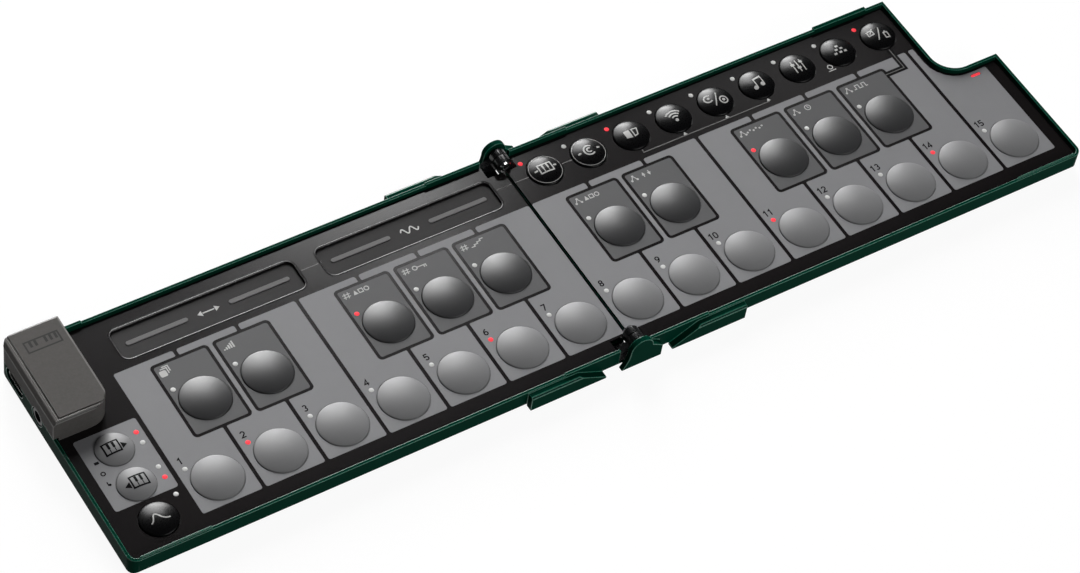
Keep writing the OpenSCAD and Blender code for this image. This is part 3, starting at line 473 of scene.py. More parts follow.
def filled(groups, thick_mm, weld_mm=0.001):
    """Flat film in mm: each group of outlines is filled, an outline inside another being a hole."""
    parts = []
    for group in groups:
        curve = bpy.data.curves.new("outline", "CURVE")
        curve.dimensions = "2D"
        curve.fill_mode = "BOTH"
        curve.extrude = thick_mm / 2
        for outline in group:
            spline = curve.splines.new("POLY")
            spline.points.add(len(outline) - 1)
            for point, (x, y) in zip(spline.points, outline):
                point.co = (x, y, 0, 1)
            spline.use_cyclic_u = True
        parts.append(plain_mesh(put("outline", curve)))
    film = joined(parts)
    bmesh.ops.remove_doubles(film, verts=film.verts, dist=weld_mm)
    bmesh.ops.recalc_face_normals(film, faces=film.faces)
    return film


def drape(film, x, y, radius, reach=0.7, rounds=4):
    """Bends a film, drawn about 0, 0, over the dome of the cap at x, y."""
    ball, hub = dome(radius)
    for _ in range(rounds):
        long = [e for e in film.edges if e.calc_length() > reach]
        if not long:
            break
        bmesh.ops.subdivide_edges(film, edges=long, cuts=1)
        bmesh.ops.triangulate(film, faces=film.faces)
    for v in film.verts:
        v.co.z += hub + math.sqrt(ball ** 2 - v.co.x ** 2 - v.co.y ** 2)
        v.co.x += x
        v.co.y += y


def printed(name, groups, thick_mm, z_mm, finish, body, cap=None):
    """A film with its middle at height z_mm, flat or bent over a cap of (x, y, radius), on a body."""
    film = filled(groups, thick_mm)
    if cap:
        drape(film, *cap)
    mesh = as_mesh(film, name)
    mesh.transform(Matrix.Scale(MM, 4) @ Matrix.Translation((0, 0, z_mm)))
    return piece_of(mesh, body, finish)


SIGN_INK, SIGN_LIFT = 0.05, 0.01
# Pad-printed ink: flat and opaque, slightly duller than the cap, with the faint mottle of the pad.
pale_ink = plastic("pad_printed_pale_ink", "#b4b4b2", "#c6c6c4", 1.5, 0.3, 0.002, (0.45, 0.55, 0.3))
# Black ink: dense and dull, so that it stays black where the caps and fields catch the lamp.
black_ink = plastic("screen_printed_black_ink", "#0a0a0b", "#101011", 3.0, 0.3, 0.002, (0.42, 0.52, 0.04))
side_dashes = [bar(-3.8, -0.28, -2.75, 0.28), bar(2.75, -0.28, 3.8, 0.28)]
slash = [stroke([(-1.2, -2.3), (1.2, 2.3)], 0.38)]
small_keys = [frame_of(-2.2, -1.55, 2.2, 1.55, 0.42),
              bar(-1.05, -0.25, -0.5, 1.3), bar(0.5, -0.25, 1.05, 1.3),
              bar(-0.88, -1.32, -0.66, -0.27), bar(0.66, -1.32, 0.88, -0.27)]
HUMP_TOP_X, HUMP_REACH, HUMP_STEPS = -1.0, 2.9, 24
hump = []
for k in range(HUMP_STEPS + 1):
    px = -HUMP_REACH + 2 * HUMP_REACH * k / HUMP_STEPS
    slope = 0.95 if px < HUMP_TOP_X else 1.6
    hump.append((px, -1.3 + 2.5 * math.exp(-((px - HUMP_TOP_X) / slope) ** 2)))
octave_keys = [frame_of(-2.7, -1.6, 2.0, 2.2, 0.5), bar(-1.5, 0.0, -0.75, 1.9), bar(0.05, 0.0, 0.8, 1.9),
               bar(-1.26, -1.3, -1.0, -0.02), bar(0.3, -1.3, 0.56, -0.02)]
mirrored_keys = [[[(-px, py) for px, py in loop] for loop in group] for group in octave_keys]
cap_ring = [hoop(0, 0, 5.2, 0.14)]
SIGNS = {
    "function_1": small_keys + side_dashes + cap_ring,
    "function_2": [stroke(bow(0.1, 0, 1.75, 48, 312), 0.5), stroke(bow(0.1, 0, 0.75, 48, 312), 0.45)]
                  + side_dashes + cap_ring,
    "function_3": [[[(-2.4, -1.3), (-0.5, -1.7), (-0.5, 1.4), (-2.4, 1.4)]],
                   stroke([(0.35, -1.5), (1.5, -1.2), (2.3, 1.2), (0.35, 1.2)], 0.36, True)],
    "function_4": [dot(0, -1.8, 0.55)] + [stroke(bow(0, -1.8, r, 48, 132), 0.48) for r in (1.5, 2.6, 3.7)],
    "function_5": slash + [
        stroke(bow(-2.2, 1.1, 1.35, 50, 310), 0.45), dot(-2.2, 1.1, 0.42), hoop(2.2, -1.1, 1.3, 0.42),
        dot(2.2, -1.1, 0.5)],
    "function_6": [
        dot(-1.4, -1.7, 0.75), dot(1.3, -1.2, 0.75), bar(-0.98, -1.6, -0.62, 1.5),
        bar(1.7, -1.1, 2.06, 2.0), [[(-0.98, 1.1), (2.06, 1.6), (2.06, 2.2), (-0.98, 1.7)]]],
    "function_7": [bar(px - 0.18, -2.4, px + 0.18, 2.4) for px in (-1.6, 0, 1.6)]
                  + [bar(px - 0.62, py - 0.42, px + 0.62, py + 0.42)
                     for px, py in ((-1.6, 0.9), (0, -0.8), (1.6, 1.3))],
    "function_8": [bar(px - 0.5, py - 0.36, px + 0.5, py + 0.36)
                   for px, py in ((0, 1.4), (-0.9, 0.1), (0.9, 0.1), (-1.8, -1.2), (0, -1.2), (1.8, -1.2))],
    "function_9": slash + [
        frame_of(-3.3, 0.3, -1.5, 2.1, 0.36), stroke([(-2.7, 0.9), (-1.0, 2.6)], 0.36),
        frame_of(1.5, -2.4, 2.9, -0.4, 0.36), bar(1.9, -0.15, 2.5, 0.2)],
    "curve_button": [stroke(hump, 0.4)],
    "octave_down": moved(mirrored_keys, 0.5, -0.2) + [[[(-2.0, -1.5), (-2.0, 0.7), (-3.7, -0.4)]]],
    "octave_up": moved(octave_keys, -0.5, -0.2) + [[[(2.0, -1.5), (3.7, -0.4), (2.0, 0.7)]]],
}
for node, sign in SIGNS.items():
    ink = black_ink if node.startswith("octave") else pale_ink
    printed(f"{node}_sign", sign, SIGN_INK, SIGN_LIFT, ink, f"{node}_body", cap=(*middle(node), BUTTON_R))


# Lights: clear acrylic pipes that stand on the boards, with a low round tip in the panel.
# Nodes set one pipe at each place; those whose lamp is on glow red.
def tree_of(name, **inputs):
    """A node tree with a geometry in and out, its inputs, named by kind, and the inputs' keys."""
    made = bpy.data.node_groups.new(name, "GeometryNodeTree")
    for way in ("INPUT", "OUTPUT"):
        made.interface.new_socket("Geometry", in_out=way, socket_type="NodeSocketGeometry")
    keys = {n: made.interface.new_socket(n, in_out="INPUT", socket_type=f"NodeSocket{kind}").identifier
            for kind, names in inputs.items() for n in names}
    return made, add(made, "NodeGroupInput").outputs, keys


def at_each_point(tree, given, form, finish):
    """Nodes that set a form at each point, make it real and give it a finish."""
    placed = add(tree, "GeometryNodeInstanceOnPoints", {"Points": given["Geometry"], "Instance": form})
    real = add(tree, "GeometryNodeRealizeInstances", {"Geometry": placed})
    return add(tree, "GeometryNodeSetMaterial", {"Geometry": real, "Material": finish})


def at_points(name, points_mm, tree, keys, values, flags=None):
    """Runs a node tree on points, its lengths in mm, and returns the plain mesh that it makes."""
    mesh = bpy.data.meshes.new(name)
    mesh.from_pydata([Vector(p) * MM for p in points_mm], [], [])
    if flags:
        lit = mesh.attributes.new("lit", "BOOLEAN", "POINT")
        for spot, flag in zip(lit.data, flags):
            spot.value = flag
    holder = put(name, mesh)
    nodes = holder.modifiers.new(name, "NODES")
    nodes.node_group = tree
    for key, value in values.items():
        nodes[keys[key]] = value if isinstance(value, bpy.types.ID) else value * MM
    made = plain_mesh(holder)
    made.name = name
    return made


# Acrylic over a white lamp: bright, a little milky, with the faint swirl of the moulding.
clear_acrylic = plastic("clear_acrylic_over_white", "#cacac8", "#dededc", 0.8, 0.4, 0.001,
                        (0.45, 0.55, 0.2))
# The same acrylic over a red lamp that is on: it glows a little by itself.
lit_acrylic = plastic("red_lit_acrylic", "#c8202c", "#e02c38", 0.8, 0.4, 0.001, (0.45, 0.55, 0.2))
lamp_glow = lit_acrylic.node_tree.nodes["Principled BSDF"]
lamp_glow.inputs["Emission Color"].default_value = linear("#f0404a")
lamp_glow.inputs["Emission Strength"].default_value = 0.7

pipe_tree, given, pipe_keys = tree_of(
    "light_pipe_at_each_point", Float=("Pipe Radius", "Pipe Length", "Tip Radius", "Tip Rise"),
    Material=("Clear", "Lit"))
rod = add(pipe_tree, "GeometryNodeMeshCylinder",
          {"Vertices": 24, "Radius": given["Pipe Radius"], "Depth": given["Pipe Length"]})
half_down = add(pipe_tree, "ShaderNodeMath", {0: given["Pipe Length"], 1: -0.5}, operation="MULTIPLY")
down = add(pipe_tree, "ShaderNodeCombineXYZ", {"Z": half_down})
rod = add(pipe_tree, "GeometryNodeTransform", {"Geometry": rod.outputs["Mesh"], "Translation": down})
ball = add(pipe_tree, "GeometryNodeMeshUVSphere", {"Segments": 24, "Rings": 12, "Radius": 1.0})
flat = add(pipe_tree, "ShaderNodeCombineXYZ",
           {"X": given["Tip Radius"], "Y": given["Tip Radius"], "Z": given["Tip Rise"]})
tip = add(pipe_tree, "GeometryNodeTransform", {"Geometry": ball.outputs["Mesh"], "Scale": flat})
smooth_tip = add(pipe_tree, "GeometryNodeSetShadeSmooth", {"Geometry": tip})
pipe = add(pipe_tree, "GeometryNodeJoinGeometry", {0: rod})
pipe_tree.links.new(smooth_tip.outputs[0], pipe.inputs[0])
plain = at_each_point(pipe_tree, given, pipe, given["Clear"])
is_lit = add(pipe_tree, "GeometryNodeInputNamedAttribute", {"Name": "lit"}, data_type="BOOLEAN")
shown = add(pipe_tree, "GeometryNodeSetMaterial",
            {"Geometry": plain, "Selection": is_lit, "Material": given["Lit"]})
add(pipe_tree, "NodeGroupOutput", {"Geometry": shown})

PANEL_Z = 6.0
PIPE_R, PIPE_LEN, TIP_R, TIP_RISE = 0.65, 2.7, 0.78, 0.16
KEY_LIGHT = (-6.8, 6.7)
BUTTON_LIGHT = (-5.4, 5.6)
CURVE_LIGHT = (8.1, 5.3)
OCTAVE_LIGHTS = [("octave_down", (8.1, 2.5), False), ("octave_down", (8.1, -1.4), True),
                 ("octave_up", (8.1, 2.5), True), ("octave_up", (8.1, -1.4), False)]
LIT = {"white_key_2", "white_key_6", "white_key_11", "white_key_14", "black_key_3", "black_key_8",
       "function_1", "function_3", "function_9"}
lights = {"left": [], "right": []}
for node, _, _ in CAPS + FUNCTIONS:
    x, y = middle(node)
    step = KEY_LIGHT if "key" in node else BUTTON_LIGHT
    lights["left" if x < 0 else "right"].append((x + step[0], y + step[1], node in LIT))
for node, step, lit in [("curve_button", CURVE_LIGHT, False)] + OCTAVE_LIGHTS:
    x, y = middle(node)
    lights["left"].append((x + step[0], y + step[1], lit))
for side, spots in lights.items():
    mesh = at_points(f"{side}_lights", [(x, y, PANEL_Z) for x, y, _ in spots], pipe_tree, pipe_keys, {
        "Pipe Radius": PIPE_R, "Pipe Length": PIPE_LEN, "Tip Radius": TIP_R, "Tip Rise": TIP_RISE,
        "Clear": clear_acrylic, "Lit": lit_acrylic,
    }, [lit for _, _, lit in spots])
    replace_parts(piece_of(mesh, f"{side}_half", None), f"{side}_light_pipes")


def round_box(x0, y0, x1, y1, r):
    """Closed outline of a rectangle with round corners."""
    return rounded([(x0, y0, r), (x1, y0, r), (x1, y1, r), (x0, y1, r)])


# The status light is a short bar of the same acrylic, near the notch.
STATUS_X, STATUS_Y, STATUS_LEN, STATUS_W, STATUS_T, STATUS_RISE = 154.6, 2.1, 3.4, 0.8, 2.72, 0.02
STATUS_GAP, STATUS_GAP_R = 0.15, 0.5


def status_outline(gap, r):
    """Outline of the status light, with a gap all round."""
    half_x, half_y = STATUS_LEN / 2 + gap, STATUS_W / 2 + gap
    return round_box(STATUS_X - half_x, STATUS_Y - half_y, STATUS_X + half_x, STATUS_Y + half_y, r)


printed("status_light", [[status_outline(0, STATUS_W * 0.49)]], STATUS_T,
        PANEL_Z + STATUS_RISE - STATUS_T / 2, lit_acrylic, "right_half")


# Panels: black polycarbonate plates, moulded with a satin face and with holes for the caps and lights.
# Screws that come up through the trays hold them.
# Satin polycarbonate: near black with a warm cast, and a fine spark-eroded grain, drawn coarser to show.
black_polycarbonate = plastic("satin_black_polycarbonate", "#131112", "#1a1717", 30.0, 0.5, 0.003,
                              (0.13, 0.17, 0.28))
for node in ("left_panel", "right_panel"):
    cad[node].material_slots[0].material = black_polycarbonate


# Touch strips: two sunken pads of black film with a raised grey rubber finger bar at each end.
# The edge of each opening is rolled over; nodes sweep that round edge along the opening's outline.
# Touch film: matt and even, so that it stays dark beside the panel's sheen.
touch_film = plastic("matt_black_touch_film", "#181617", "#201e1e", 20.0, 0.6, 0.003, (0.40, 0.50, 0.15))
# Moulded rubber: mid grey and soft, with little shine.
bar_rubber = plastic("moulded_grey_rubber", "#585757", "#626161", 9.0, 0.4, 0.004, (0.50, 0.60, 0.3))
PAD_EDGE, BAR_FOOT = 0.05, 5.25
for node in ("pitch_strip", "mod_strip"):
    pad = moulding(node, f"{node}_pad", PAD_EDGE, touch_film, 2, join_flats=True)
    pad.data.materials.append(bar_rubber)
    for face in pad.data.polygons:
        if face.center.z > BAR_FOOT * MM:
            face.material_index = 1


def box_curve(tree, width, depth, corner, steps):
    """Nodes that draw a rectangle with round corners."""
    edge = add(tree, "GeometryNodeCurvePrimitiveQuadrilateral", {"Width": width, "Height": depth})
    edge = add(tree, "GeometryNodeFilletCurve", {"Curve": edge, "Radius": corner})
    edge.mode = "POLY"
    edge.inputs["Count"].default_value = steps
    return edge


roll_tree, given, roll_keys = tree_of(
    "rolled_edge_round_each_opening", Float=("Length", "Width", "Corner", "Roll"), Material=("Finish",))
edge = box_curve(roll_tree, given["Length"], given["Width"], given["Corner"], 12)
round_bead = add(roll_tree, "GeometryNodeCurvePrimitiveCircle", {"Resolution": 20, "Radius": given["Roll"]})
bead = add(roll_tree, "GeometryNodeCurveToMesh", {"Curve": edge, "Profile Curve": round_bead})
soft = add(roll_tree, "GeometryNodeSetShadeSmooth", {"Geometry": bead})
dressed = at_each_point(roll_tree, given, soft, given["Finish"])
add(roll_tree, "NodeGroupOutput", {"Geometry": dressed})

STRIP_Y, STRIP_LEN, STRIP_W, STRIP_R = 28.4, 60.0, 11.4, 2.6
STRIP_MIDS = (-104.2, -36.8)
ROLL, ROLL_OUT, ROLL_DROP = 0.38, 0.08, 0.01
# Polished polycarbonate: the rolled edge carries a thin bright line along the front of each strip.
polished_edge = plastic("polished_black_polycarbonate", "#131112", "#1a1717", 12.0, 2.0, 0.0002,
                        (0.25, 0.28, 0.6))
roll_z = PANEL_Z - ROLL - ROLL_DROP
mesh = at_points("strip_edges", [(x, STRIP_Y, roll_z) for x in STRIP_MIDS], roll_tree, roll_keys, {
    "Length": STRIP_LEN + 2 * ROLL_OUT, "Width": STRIP_W + 2 * ROLL_OUT, "Corner": STRIP_R + ROLL_OUT,
    "Roll": ROLL, "Finish": polished_edge,
})
piece_of(mesh, "left_half", None)

# Signs between the finger bars, pad-printed: arrows to both sides, and a wave.
PAD_Z, PAD_INK, PAD_LIFT = 5.2, 0.04, 0.01
arrows = [[[(-3.6, 0), (-2.1, -1.0), (-2.1, 1.0)]], bar(-1.9, -0.2, 1.9, 0.2),
          [[(3.6, 0), (2.1, 1.0), (2.1, -1.0)]]]
wave = [stroke([(px, math.sin(px * math.pi / 1.5)) for px in [-3 + 6 * k / 36 for k in range(37)]], 0.42)]
strip_signs = moved(arrows, STRIP_MIDS[0], STRIP_Y) + moved(wave, STRIP_MIDS[1], STRIP_Y)
printed("strip_signs", strip_signs, PAD_INK, PAD_Z + PAD_LIFT, pale_ink, "left_half")


# White-key fields: grey ink screen-printed on the panel, one field a key, cut out round the dark keys.
# Thin films with holes for the caps and lights; the last field follows the notch of the tray.
# Screen-printed grey ink: matt, even, with the faint cloudiness of a thick ink coat.
grey_ink = plastic("screen_printed_grey_ink", "#818183", "#8a8a8c", 22.0, 0.5, 0.003, (0.45, 0.55, 0.15))
INK, INK_SINK = 0.04, 0.005
HALF_PITCH = 10
FIELD_HALF, FIELD_FRONT, FIELD_REAR, FIELD_R = 9.4, -33.7, 19.9, 0.7
DARK_HALF, DARK_FRONT, DARK_REAR, DARK_R = 9.35, -10.3, 17.7, 1.5
CUT_R = 0.4
KEY_HOLE_R, BUTTON_HOLE_R, LIGHT_HOLE_R = 7.8, 5.8, 0.78
NOTCH_EDGE_X, NOTCH_EDGE_Y, NOTCH_EDGE_R, NOTCH_END_R = 142.6, 3.6, 10.0, 0.5
DARK_AFTER = [1, 2, 4, 5, 6, 8, 9, 11, 12, 13]
WHITE_KEYS = {"left": range(1, 8), "right": range(8, 16)}
LAST_KEY = 15
ink_z = PANEL_Z + INK / 2 - INK_SINK


def dark_cut(edge_x, cut_x):
    """Corners where a field is cut out for a dark key, from front to rear."""
    return [(edge_x, DARK_FRONT, CUT_R), (cut_x, DARK_FRONT, DARK_R), (cut_x, DARK_REAR, DARK_R),
            (edge_x, DARK_REAR, CUT_R)]


def light_hole(x, y, step):
    return disc(x + step[0], y + step[1], LIGHT_HOLE_R, 20)


for side, keys in WHITE_KEYS.items():
    fields = []
    for i in keys:
        x, y = middle(f"white_key_{i}")
        left, right = x - FIELD_HALF, x + FIELD_HALF
        corners = [(left, FIELD_FRONT, FIELD_R), (right, FIELD_FRONT, FIELD_R)]
        if i in DARK_AFTER:
            corners += dark_cut(right, x + HALF_PITCH - DARK_HALF)
        if i == LAST_KEY:
            corners += [(right, NOTCH_EDGE_Y, NOTCH_END_R), (NOTCH_EDGE_X, NOTCH_EDGE_Y, NOTCH_EDGE_R),
                        (NOTCH_EDGE_X, FIELD_REAR, CUT_R)]
        else:
            corners.append((right, FIELD_REAR, FIELD_R))
        corners.append((left, FIELD_REAR, FIELD_R))
        if i - 1 in DARK_AFTER:
            corners += reversed(dark_cut(left, x - HALF_PITCH + DARK_HALF))
        group = [rounded(corners), disc(x, y, KEY_HOLE_R, 72), light_hole(x, y, KEY_LIGHT)]
        if i == LAST_KEY:
            group.append(status_outline(STATUS_GAP, STATUS_GAP_R))
        fields.append(group)
    printed(f"{side}_white_fields", fields, INK, ink_z, grey_ink, f"{side}_half")

# The same ink lies under the two octave buttons at the left end.
PLATE_LEFT, PLATE_FRONT, PLATE_RIGHT, PLATE_REAR, PLATE_R = -160.4, -22.3, -140.9, 3.9, 0.8
plate = [round_box(PLATE_LEFT, PLATE_FRONT, PLATE_RIGHT, PLATE_REAR, PLATE_R)]
plate += [disc(*middle(node), BUTTON_HOLE_R, 56) for node in ("octave_down", "octave_up")]
plate += [light_hole(*middle(node), step) for node, step, _ in OCTAVE_LIGHTS]
printed("octave_plate", [plate], INK, ink_z, grey_ink, "left_half")


# Dark-key fields: a darker grey ink inside the black outline of each dark key, screen-printed.
# One film is drawn by nodes, set at every dark key of a half and made a plain mesh.
# Screen-printed dark ink: the same coat as the white keys' in a deeper grey.
dark_ink = plastic("screen_printed_dark_ink", "#585859", "#616162", 22.0, 0.5, 0.003, (0.42, 0.52, 0.15))
dark_tree, given, dark_inputs = tree_of(
    "dark_field_at_each_key", Float=("Width", "Depth", "Corner", "Thickness", "Cap Hole", "Light Hole"),
    Vector=("Cap Offset", "Light Offset"), Material=("Ink",))
edge = box_curve(dark_tree, given["Width"], given["Depth"], given["Corner"], 5)
outline = add(dark_tree, "GeometryNodeJoinGeometry", {0: edge})
for hole, steps in (("Cap", 72), ("Light", 20)):
    loop = add(dark_tree, "GeometryNodeCurvePrimitiveCircle",
               {"Resolution": steps, "Radius": given[f"{hole} Hole"]})
    loop = add(dark_tree, "GeometryNodeTransform",
               {"Geometry": loop, "Translation": given[f"{hole} Offset"]})
    dark_tree.links.new(loop.outputs[0], outline.inputs[0])
face = add(dark_tree, "GeometryNodeFillCurve", {"Curve": outline})
raised = add(dark_tree, "GeometryNodeExtrudeMesh",
             {"Mesh": face, "Offset Scale": given["Thickness"], "Individual": False})
under = add(dark_tree, "GeometryNodeFlipFaces", {"Mesh": face})
film = add(dark_tree, "GeometryNodeJoinGeometry", {0: raised})
dark_tree.links.new(under.outputs[0], film.inputs[0])
film = add(dark_tree, "GeometryNodeMergeByDistance", {"Geometry": film, "Distance": 1e-6})
inked = at_each_point(dark_tree, given, film, given["Ink"])
add(dark_tree, "NodeGroupOutput", {"Geometry": inked})

DARK_LINE, DARK_CORNER = 1.0, 0.7
DARK_KEYS = {"left": range(1, 6), "right": range(6, 11)}
dark_mid = (DARK_FRONT + DARK_REAR) / 2
cap_step = middle("black_key_1").y - dark_mid
for side, keys in DARK_KEYS.items():
    spots = [(middle(f"black_key_{i}").x, dark_mid, PANEL_Z - INK_SINK) for i in keys]
    mesh = at_points(f"{side}_dark_fields", spots, dark_tree, dark_inputs, {
        "Width": 2 * (DARK_HALF - DARK_LINE), "Depth": DARK_REAR - DARK_FRONT - 2 * DARK_LINE,
        "Corner": DARK_CORNER, "Thickness": INK, "Cap Hole": KEY_HOLE_R, "Light Hole": LIGHT_HOLE_R,
        "Cap Offset": Vector((0, cap_step, 0)), "Ink": dark_ink,
        "Light Offset": Vector((KEY_LIGHT[0], cap_step + KEY_LIGHT[1], 0)),
    })
    piece_of(mesh, f"{side}_half", None)


# Numbers and signs on the fields: screen-printed, black numbers on the white keys and pale signs on the
# dark ones, and three small black signs beside the octave buttons.
NUMBER_H, NUMBER_STEP, DIGIT_PITCH, PEN = 2.35, (-6.8, 9.7), 1.65, 0.33
# Each digit is drawn in a field that reaches from -1 to 1 in height.
DIGITS = {
    "0": [stroke(bow(0, 0.36, 0.48, 0, 180) + bow(0, -0.36, 0.48, 180, 360), PEN, True)],
    "1": [stroke([(-0.42, 0.42), (0.08, 0.84), (0.08, -1.0)], PEN)],
    "2": [stroke(bow(0, 0.36, 0.48, 165, -35) + [(-0.5, -0.84), (0.56, -0.84)], PEN)],
    "3": [stroke(bow(0, 0.42, 0.42, 150, -90), PEN), stroke(bow(0, -0.40, 0.44, 90, -150), PEN)],
    "4": [stroke([(0.22, -1.0), (0.22, 0.84), (-0.55, -0.42), (0.62, -0.42)], PEN)],
    "5": [stroke([(0.5, 0.84), (-0.4, 0.84), (-0.46, 0.1)] + bow(-0.02, -0.34, 0.5, 125, -150), PEN)],
    "6": [hoop(0, -0.36, 0.48, PEN), stroke(bow(0.82, -0.36, 1.3, 180, 112), PEN)],
    "7": [stroke([(-0.55, 0.84), (0.5, 0.84), (-0.12, -1.0)], PEN)],
    "8": [hoop(0, 0.42, 0.42, PEN), hoop(0, -0.40, 0.44, PEN)],
    "9": [hoop(0, 0.36, 0.48, PEN), stroke(bow(-0.82, 0.36, 1.3, 0, -68), PEN)],
}
PRINT, PRINT_SINK = 0.03, 0.01
print_z = PANEL_Z + INK + PRINT / 2 - PRINT_SINK
for side, keys in WHITE_KEYS.items():
    digits = []
    for i in keys:
        x, y = middle(f"white_key_{i}")
        for k, digit in enumerate(str(i)):
            step = (k - (len(str(i)) - 1) / 2) * DIGIT_PITCH
            digits += moved(DIGITS[digit], x + NUMBER_STEP[0] + step, y + NUMBER_STEP[1], NUMBER_H / 2)
    printed(f"{side}_numbers", digits, PRINT, print_z, black_ink, f"{side}_half")

grid = [stroke([(px - 0.15, -1.1), (px + 0.15, 1.1)], 0.3) for px in (-0.55, 0.55)]
grid += [bar(-1.2, -0.6, 1.2, -0.3), bar(-1.2, 0.3, 1.2, 0.6)]
trio = [dot(0, 0.85, 0.38), dot(-0.95, -0.75, 0.38), dot(0.95, -0.75, 0.38),
        stroke([(-0.75, -0.4), (-0.2, 0.5)], 0.26), stroke([(0.2, 0.5), (0.75, -0.4)], 0.26)]
stack = [[round_box(-2.0, -1.3, 0.2, 0.9, 0.5)],
         stroke([(-1.2, 1.45), (0.75, 1.45), (0.75, -0.6)], 0.34),
         stroke([(-0.5, 2.05), (1.4, 2.05), (1.4, 0.0)], 0.34)]
ramp = [bar(-1.9 + 0.75 * k, -1.2, -1.4 + 0.75 * k, -0.8 + 0.5 * k) for k in range(5)]
shapes = [[[(-2.4, -0.8), (-0.9, -0.8), (-1.65, 0.85)]], frame_of(-0.45, -0.65, 0.85, 0.65, 0.3),
          hoop(2.1, 0, 0.7, 0.3)]
door_key = [hoop(-1.5, 0, 0.7, 0.32), bar(-0.75, -0.16, 2.3, 0.16), bar(1.3, -0.85, 1.62, -0.14),
            bar(1.95, -0.85, 2.27, -0.14)]
stairs = [stroke([(-2.4, -0.9), (-1.2, -0.9), (-1.2, -0.3), (0, -0.3), (0, 0.3), (1.2, 0.3), (1.2, 0.9),
                  (2.4, 0.9)], 0.32)]
up_down = [[[(-1.6, -0.2), (-0.4, -0.2), (-1.0, 0.95)]], bar(-1.16, -0.9, -0.84, -0.24),
           [[(0.4, 0.2), (1.0, -0.95), (1.6, 0.2)]], bar(0.84, 0.24, 1.16, 0.9)]
beads = [dot(-2.7 + 1.1 * k, 0.5 * (k % 2) - 0.25, 0.34) for k in range(6)]
clock = [hoop(0, 0, 0.95, 0.3), stroke([(0, 0.6), (0, 0), (0.45, -0.25)], 0.26)]
pulse = [stroke([(-2.4, -0.7), (-1.6, -0.7), (-1.6, 0.8), (-0.4, 0.8), (-0.4, -0.7), (0.8, -0.7),
                 (0.8, 0.8), (2.0, 0.8), (2.0, -0.7), (2.7, -0.7)], 0.32)]
# For each dark key, its signs with their steps from the cap's middle and their place along the key
DARK_SIGNS = {1: [(stack, -5.7, 13.9)], 2: [(ramp, -5.4, 14.3)]}
for i, sign in zip(range(3, 11), (shapes, door_key, stairs, shapes, up_down, beads, clock, pulse)):
    DARK_SIGNS[i] = [(grid if i < 6 else trio, -6.2, 14.6), (sign, -1.7, 14.6)]
for side, keys in DARK_KEYS.items():
    signs = []
    for i in keys:
        for sign, step, y in DARK_SIGNS[i]:
            signs += moved(sign, middle(f"black_key_{i}").x + step, y)
    printed(f"{side}_dark_signs", signs, PRINT, print_z, pale_ink, f"{side}_half")

COLUMN_SIGN_X = -157.6
column_signs = moved([bar(-0.7, -0.45, 0.7, 0.45)], COLUMN_SIGN_X, -5.3)
column_signs += moved([hoop(0, 0, 0.6, 0.36)], COLUMN_SIGN_X, -9.3)
column_signs += moved([bar(-0.55, -0.7, -0.2, 0.7), dot(0.05, -0.5, 0.42)], COLUMN_SIGN_X, -12.9)
printed("column_signs", column_signs, PRINT, print_z, black_ink, "left_half")


# Lines on the panel: thin screen-printed ink lines that join the strips and the function buttons, with
# small pale marks, and a black band with a grey core from the last function button to the last dark key.
LINE_W, LINE_Y, LINE_LIFT = 0.3, 22.0, 0.01
RING_R = 5.9
HOLD_SIGN = (114.3, 24.8)
f_x = [middle(f"function_{i}").x for i in range(1, 10)]
f_y = middle("function_1").y


def level_line(x0, x1, y):
    return bar(x0, y - LINE_W / 2, x1, y + LINE_W / 2)


left_lines = [level_line(-73.3, -67.6, f_y - 0.5), level_line(-6.0, -0.7, f_y)]
right_lines = [level_line(0.7, f_x[0] - RING_R, f_y), level_line(f_x[0] + RING_R, f_x[1] - RING_R, f_y),
               stroke([(f_x[2], f_y - 6.1), (f_x[2], LINE_Y), (f_x[5], LINE_Y)], LINE_W)]
right_marks = [[[(x - 0.7, LINE_Y + 0.2), (x + 0.7, LINE_Y + 0.2), (x, LINE_Y + 1.4)]] for x in f_x[3:6]]
right_marks += moved([hoop(0, 0.5, 0.8, 0.34), bar(-1.4, -1.1, 1.4, -0.78)], *HOLD_SIGN)
# Pale ink on the panel is thinner than on the caps, and greyer.
thin_ink = plastic("screen_printed_thin_ink", "#5e5d5c", "#6a6968", 2.0, 0.3, 0.002, (0.45, 0.55, 0.3))
printed("left_lines", left_lines, PRINT, PANEL_Z + LINE_LIFT, thin_ink, "left_half")
printed("right_lines", right_lines, PRINT, PANEL_Z + LINE_LIFT, thin_ink, "right_half")
printed("right_marks", right_marks, PRINT, PANEL_Z + LINE_LIFT, pale_ink, "right_half")
BAND_Y, BAND_END_X, BAND_W, CORE_W, CORE_LIFT = 14.7, 128.4, 2.0, 0.28, 0.02
band = [(f_x[8], f_y - 6.3), (f_x[8], BAND_Y), (BAND_END_X, BAND_Y)]
printed("link_band", [stroke(band, BAND_W)], PRINT, print_z, black_ink, "right_half")
printed("link_line", [stroke(band, CORE_W)], PRINT, print_z + CORE_LIFT, thin_ink, "right_half")


# Block: the raised cover at the left rear, moulded in charcoal ABS with a spark-eroded face.
# It stands on the tray's lip and the panel, and carries the sockets and the battery under its roof.
# Spark-eroded ABS: a matt charcoal with a fine sparkle, drawn coarser so that it shows.
charcoal_abs = plastic("spark_eroded_charcoal_abs", "#545250", "#646260", 0.9, 0.7, 0.02,
                       (0.50, 0.64, 0.03))
